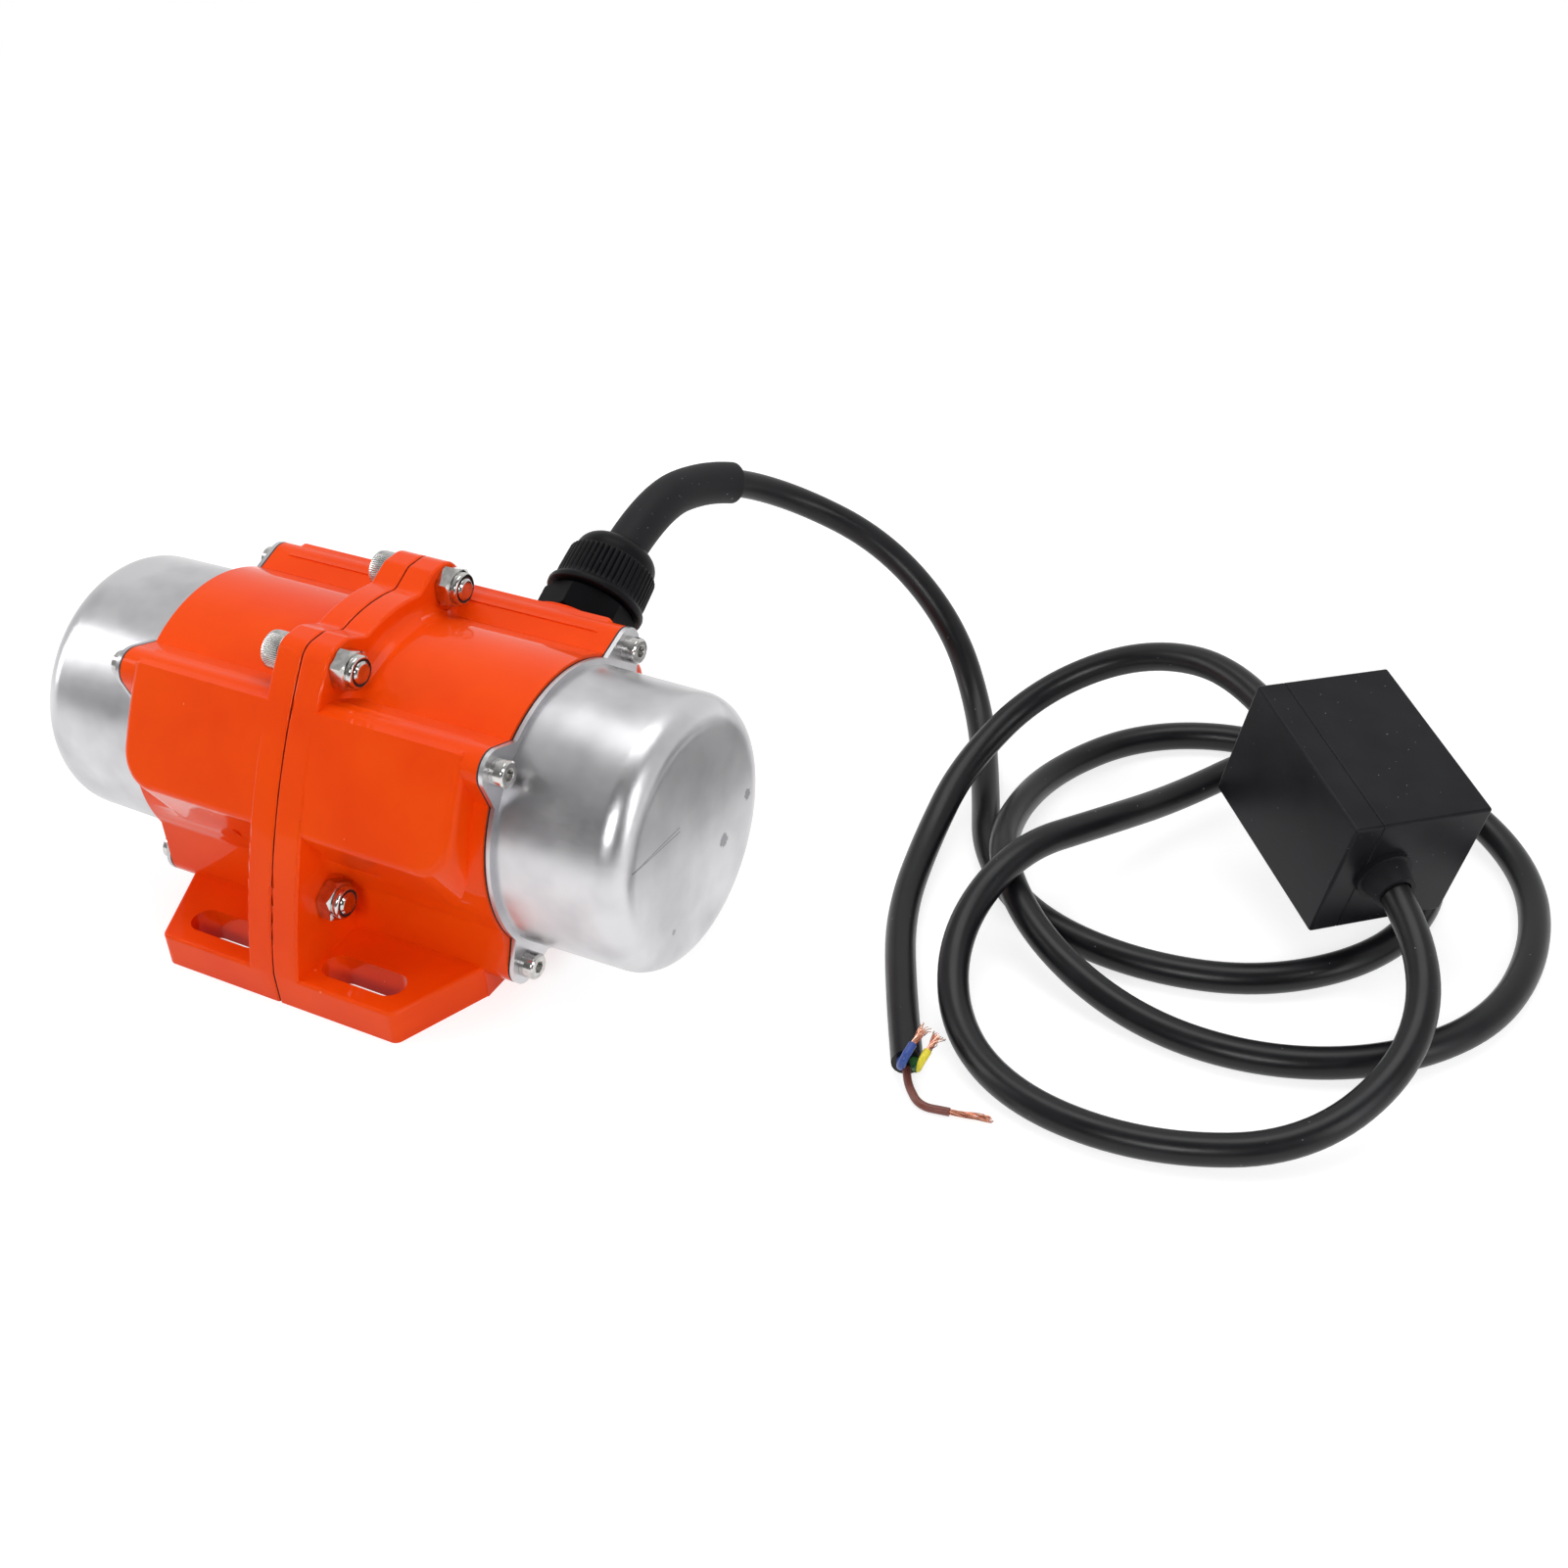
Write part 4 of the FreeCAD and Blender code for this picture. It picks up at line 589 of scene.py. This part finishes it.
def bolt_knurls(finish):
    """The knurled sides of the four bolt heads: on each, a ridged profile carried along the bolt's
    axis, a ring of fine ridges that fade out at both ends."""
    turns = BOLT_RIDGES * FACES_PER_BOLT_RIDGE
    along = np.array([0.0, 0.0, 0.0004, 0.0008, 0.0044, 0.0049, 0.0052, 0.0052])
    base = np.array([0.0046, 0.00498, 0.00499, 0.00499, 0.00499, 0.00499, 0.00498, 0.0046])
    depth = np.array([0, 0, 0.00009, 0.00015, 0.00015, 0.00009, 0, 0])
    radius = ridged(base, depth, BOLT_RIDGES, turns, sharpness=0.7)
    rings = []
    for i, (y, z) in enumerate(BOLT_PLACES):
        path = np.array([(x, y, z) for x in BOLT_HEAD_X])
        rings.append(carried(f"knurl_{i}", path, along, radius, (0, 0, 1), turns, closed=True))
    return shown("bolt_knurls", joined("bolt_knurls", rings), "motor", finish, "screw_metal")


# ------------------------------------------------------------------ bare ends
# For each core: where its bare copper starts, where it ends, and how far the strands spread there.
BARE_ENDS = [
    ((0.1592, -0.0150, 0.0099), (0.1597, -0.0082, 0.0103), 0.0013),
    ((0.1630, -0.0146, 0.0089), (0.1636, -0.0092, 0.0098), 0.0014),
    ((0.1728, -0.0240, 0.0013), (0.1832, -0.0222, 0.0016), 0.0007),
]
STRANDS_EACH = 22
STRAND_RADIUS = 0.00011
BUNDLE_RADIUS = 0.00068
STRAND_LOWEST = 0.00025
STRAND_STEPS = 12
PHASE_STEP = 2.4
TWIST = 2.6


def copper_strands(finish):
    """The bare ends of the three cores. Each strand is a thin tube round the line
    P(t) = start + c t * run + rho(t) * (cos a(t) * N + sin a(t) * B), where a(t) = p + k t + j t^2 and
    rho(t) = r + f t^2.2, so a strand is twisted at the insulation and frays at its end. p and r go up
    from strand to strand, c, k, j and f are drawn at random, and no strand goes below the floor."""
    t = np.linspace(0, 1, STRAND_STEPS)[:, None]
    inner = STRAND_STEPS - 1
    meshes = []
    for start, tip, fray in BARE_ENDS:
        start, tip = np.array(start), np.array(tip)
        run = tip - start
        ahead = run / np.linalg.norm(run)
        normal = np.cross(ahead, (0, 0, 1.0))
        normal /= np.linalg.norm(normal)
        binormal = np.cross(ahead, normal)
        for i in range(STRANDS_EACH):
            twist = TWIST + rng.uniform(-0.5, 0.5)
            within_bundle = BUNDLE_RADIUS * math.sqrt((i + 0.5) / STRANDS_EACH)
            rho = within_bundle + fray * rng.uniform(-0.2, 1.0) * t ** 2.2
            turn = PHASE_STEP * i + twist * t + rng.uniform(-0.6, 0.6) * t ** 2
            line = start + (t * rng.uniform(0.82, 1.04)) * run \
                + rho * (np.cos(turn) * normal + np.sin(turn) * binormal)
            line[:, 2] = np.maximum(line[:, 2], STRAND_LOWEST)
            length = np.linalg.norm(np.diff(line, axis=0), axis=1).sum()
            along = np.concatenate([[0], np.linspace(0, length, inner), [length]])
            radius = np.concatenate([[0], np.full(inner, STRAND_RADIUS), [0]])
            meshes.append(carried("strand", line, along, radius, binormal, turns=6))
    whole = joined("copper_strands_look", meshes)
    return shown("copper_strands_look", whole, "motor", finish, "copper", "copper_strands")


# ------------------------------------------------------------------ stage
def from_light_path(tree, *kinds):
    """1 for the named kinds of ray, 0 for the rest."""
    path = node_of(tree, "ShaderNodeLightPath")
    return either(tree, [path.outputs[kind] for kind in kinds])


FLOOR_REACH = 6.0
FADE_FROM, FADE_TO = 0.35, 0.95


def stage():
    """A white floor that keeps a faint shadow near the object and fades to plain white further out."""
    mesh = bpy.data.meshes.new("floor")
    corners = [(FLOOR_REACH * x, FLOOR_REACH * y, 0)
               for x, y in ((-1, -1), (1, -1), (1, 1), (-1, 1))]
    mesh.from_pydata(corners, [], [(0, 1, 2, 3)])
    floor = bpy.data.objects.new("floor", mesh)
    bpy.context.scene.collection.objects.link(floor)
    made, tree, shader = material("floor", (0.80, 0.80, 0.80), 0.9)
    mesh.materials.append(made)
    seen = node_of(tree, "ShaderNodeBsdfDiffuse")
    glow = node_of(tree, "ShaderNodeEmission", Strength=1.0)
    add = node_of(tree, "ShaderNodeAddShader")
    away = node_of(tree, "ShaderNodeVectorMath", operation="LENGTH")
    tree.links.new(place_of(tree), away.inputs[0])
    distance = away.outputs["Value"]
    tree.links.new(ramp(tree, distance, (FADE_FROM, 0.42), (FADE_TO, 0.0)), seen.inputs["Color"])
    tree.links.new(ramp(tree, distance, (FADE_FROM, 0.76), (FADE_TO, 1.0)), glow.inputs["Color"])
    mix = node_of(tree, "ShaderNodeMixShader")
    tree.links.new(seen.outputs["BSDF"], add.inputs[0])
    tree.links.new(glow.outputs["Emission"], add.inputs[1])
    tree.links.new(from_light_path(tree, "Is Camera Ray", "Is Glossy Ray"), mix.inputs["Fac"])
    tree.links.new(shader.outputs["BSDF"], mix.inputs[1])
    tree.links.new(add.outputs["Shader"], mix.inputs[2])
    tree.links.new(mix.outputs["Shader"], tree.nodes["Material Output"].inputs["Surface"])


def soft_box(name, place, aim, size, watts):
    """A rectangular lamp that points at the aim."""
    lamp = bpy.data.lights.new(name, "AREA")
    lamp.shape = "RECTANGLE"
    lamp.size, lamp.size_y = size
    lamp.energy = watts
    holder = bpy.data.objects.new(name, lamp)
    holder.location = place
    holder.rotation_euler = (Vector(aim) - Vector(place)).to_track_quat("-Z", "Y").to_euler()
    bpy.context.scene.collection.objects.link(holder)


DARK_SIDE = (0.30, -0.86, 0.42)


def room():
    """A pale room that is darker on its front side, and white where the camera looks into it."""
    world = bpy.data.worlds.new("room")
    bpy.context.scene.world = world
    world.use_nodes = True
    tree = world.node_tree
    place = node_of(tree, "ShaderNodeTexCoord")
    toward = node_of(tree, "ShaderNodeVectorMath", operation="DOT_PRODUCT")
    toward.inputs[1].default_value = DARK_SIDE
    tree.links.new(place.outputs["Generated"], toward.inputs[0])
    shade = ramp(tree, linear(tree, toward.outputs["Value"], 0.5, 0.5),
                 (0.30, 0.85), (0.62, 0.55), (0.86, 0.13))
    walls = tree.nodes["Background"]
    tree.links.new(shade, walls.inputs["Color"])
    bright = node_of(tree, "ShaderNodeBackground", Color=(1, 1, 1, 1), Strength=1.0)
    mix = node_of(tree, "ShaderNodeMixShader")
    tree.links.new(from_light_path(tree, "Is Camera Ray", "Is Transmission Ray"), mix.inputs["Fac"])
    tree.links.new(walls.outputs["Background"], mix.inputs[1])
    tree.links.new(bright.outputs["Background"], mix.inputs[2])
    tree.links.new(mix.outputs["Shader"], tree.nodes["World Output"].inputs["Surface"])


LIGHT_AIM = (0.08, 0.03, 0.04)
# Name, place, width and height in metres, watts.
SOFT_BOXES = [
    ("top_box", (0.05, 0.25, 1.05), (0.9, 0.5), 3.6),
    ("left_strip", (-0.95, -0.45, 0.55), (0.25, 0.8), 3.0),
    ("right_strip", (1.15, -0.25, 0.5), (0.25, 0.8), 3.0),
    ("front_fill", (0.35, -1.1, 0.75), (0.5, 0.3), 5.2),
]


def lights():
    """The four lamps, the room and the plain view transform."""
    for name, place, size, watts in SOFT_BOXES:
        soft_box(name, place, LIGHT_AIM, size, watts)
    room()
    bpy.context.scene.view_settings.view_transform = "Standard"


CAMERA_PLACE = (0.3132, -0.3386, 0.3457)
CAMERA_AZIMUTH = math.radians(29.821)
CAMERA_ELEVATION = math.radians(35.695)
CAMERA_ROLL = math.radians(-3.201)
CAMERA_LENS = 46.46
SENSOR_WIDTH = 36
NEAREST_SEEN = 0.01


def camera():
    """The scene's camera, turned by its azimuth, elevation and roll."""
    lens = bpy.data.cameras.new("camera")
    lens.lens = CAMERA_LENS
    lens.sensor_width = SENSOR_WIDTH
    lens.clip_start = NEAREST_SEEN
    eye = bpy.data.objects.new("camera", lens)
    bpy.context.scene.collection.objects.link(eye)
    level = math.cos(CAMERA_ELEVATION)
    back = Vector((math.sin(CAMERA_AZIMUTH) * level, -math.cos(CAMERA_AZIMUTH) * level,
                   math.sin(CAMERA_ELEVATION)))
    right = (-back).cross(Vector((0, 0, 1))).normalized()
    up = right.cross(-back)
    turned_right = math.cos(CAMERA_ROLL) * right + math.sin(CAMERA_ROLL) * up
    turned_up = math.cos(CAMERA_ROLL) * up - math.sin(CAMERA_ROLL) * right
    turn = Matrix((turned_right, turned_up, back)).transposed().to_4x4()
    eye.matrix_world = Matrix.Translation(CAMERA_PLACE) @ turn
    bpy.context.scene.camera = eye


# ------------------------------------------------------------------ the motor
stage()
lights()
camera()

# Each polymer: name, tone, roughness, then the grain's cells per metre and its depth in metres.
jacket = dark_polymer("cable_jacket", 0.005, 0.34, 1500, 0.00001, dust=0.012, specular=0.34)
sleeve_rubber = dark_polymer("sleeve_rubber", 0.007, 0.6, 900, 0.00004, dust=0.10, specular=0.26)
gland_black = dark_polymer("gland_black", 0.004, 0.42, 1700, 0.00002, dust=0.012, specular=0.12)
box_black = dark_polymer("box_black", 0.0085, 0.34, 2600, 0.00001, dust=0.03, specular=0.14)
hex_black = dark_polymer("gland_hex_black", 0.003, 0.5, 1700, 0.00002, dust=0.012, specular=0.05)
gasket_black = dark_polymer("gasket_black", 0.008, 0.65, 900, 0.00002)
plating = bright_plate()
finish_of = {
    "paint": orange_enamel(), "cap_metal": drawn_cap_metal(), "screw_metal": plating,
    "steel": bright_plate("ground_steel", (0.55, 0.55, 0.55), 0.2), "gasket": gasket_black,
    "gland_plastic": gland_black, "rubber": sleeve_rubber, "box_plastic": box_black,
    "cable_jacket": jacket, "core_yellow_green": earth_core(),
}
# The slots with a plain finish: colour, roughness, metallic.
for slot, colour, roughness, metallic in (
        ("nylon", (0.012, 0.012, 0.016), 0.5, 0), ("lamination", (0.20, 0.20, 0.21), 0.5, 1),
        ("copper", (0.93, 0.52, 0.38), 0.22, 1), ("cast_aluminium", (0.6, 0.6, 0.6), 0.45, 1),
        ("weight_steel", (0.16, 0.16, 0.17), 0.5, 1), ("cage_plastic", (0.05, 0.05, 0.05), 0.5, 0),
        ("capacitor_case", (0.75, 0.74, 0.70), 0.4, 0), ("potting", (0.1, 0.1, 0.1), 0.6, 0),
        ("core_blue", (0.035, 0.085, 0.36), 0.36, 0), ("core_brown", (0.20, 0.055, 0.038), 0.36, 0)):
    finish_of[slot] = plain_finish(slot, colour, roughness, metallic)

slots = {row["node"]: row["material_slot"] for row in frame["record"]["subparts"]}
# Nodes that a function above makes anew.
made_here = {"motor_cable", "supply_lead", "cable_sleeve", "gland_nut", "copper_strands"}
# Nodes whose edges are rounded, by how much in metres.
fine_edges = {"capacitor_box_shell": 0.0003, "capacitor_box_lid": 0.0003, "gland_body": 0.0002,
              "cap_screws_left": 0.0001, "cap_screws_right": 0.0001, "flange_bolts": 0.0001}
for node in frame["nodes"]:
    if node not in made_here:
        finish = hex_black if node == "gland_body" else finish_of[slots[node]]
        dressed(node, finish, slots[node], bevel=fine_edges.get(node))

sleeve(sleeve_rubber)
gland_nut(gland_black)
bolt_knurls(plating)
copper_strands(finish_of["copper"])

for name, route, length, far_end, companions in (
        ("motor_cable_jacket", MOTOR_CABLE_ROUTE, 1.2392, "fitting",
         ("cable_sleeve", "capacitor_box_shell", "capacitor_box_lid", "run_capacitor",
          "capacitor_potting", "cable_grommets")),
        ("supply_lead_jacket", SUPPLY_LEAD_ROUTE, 0.2299, "bare",
         ("core_blue", "core_yellow_green", "core_brown", "copper_strands"))):
    cable(name, route, jacket)
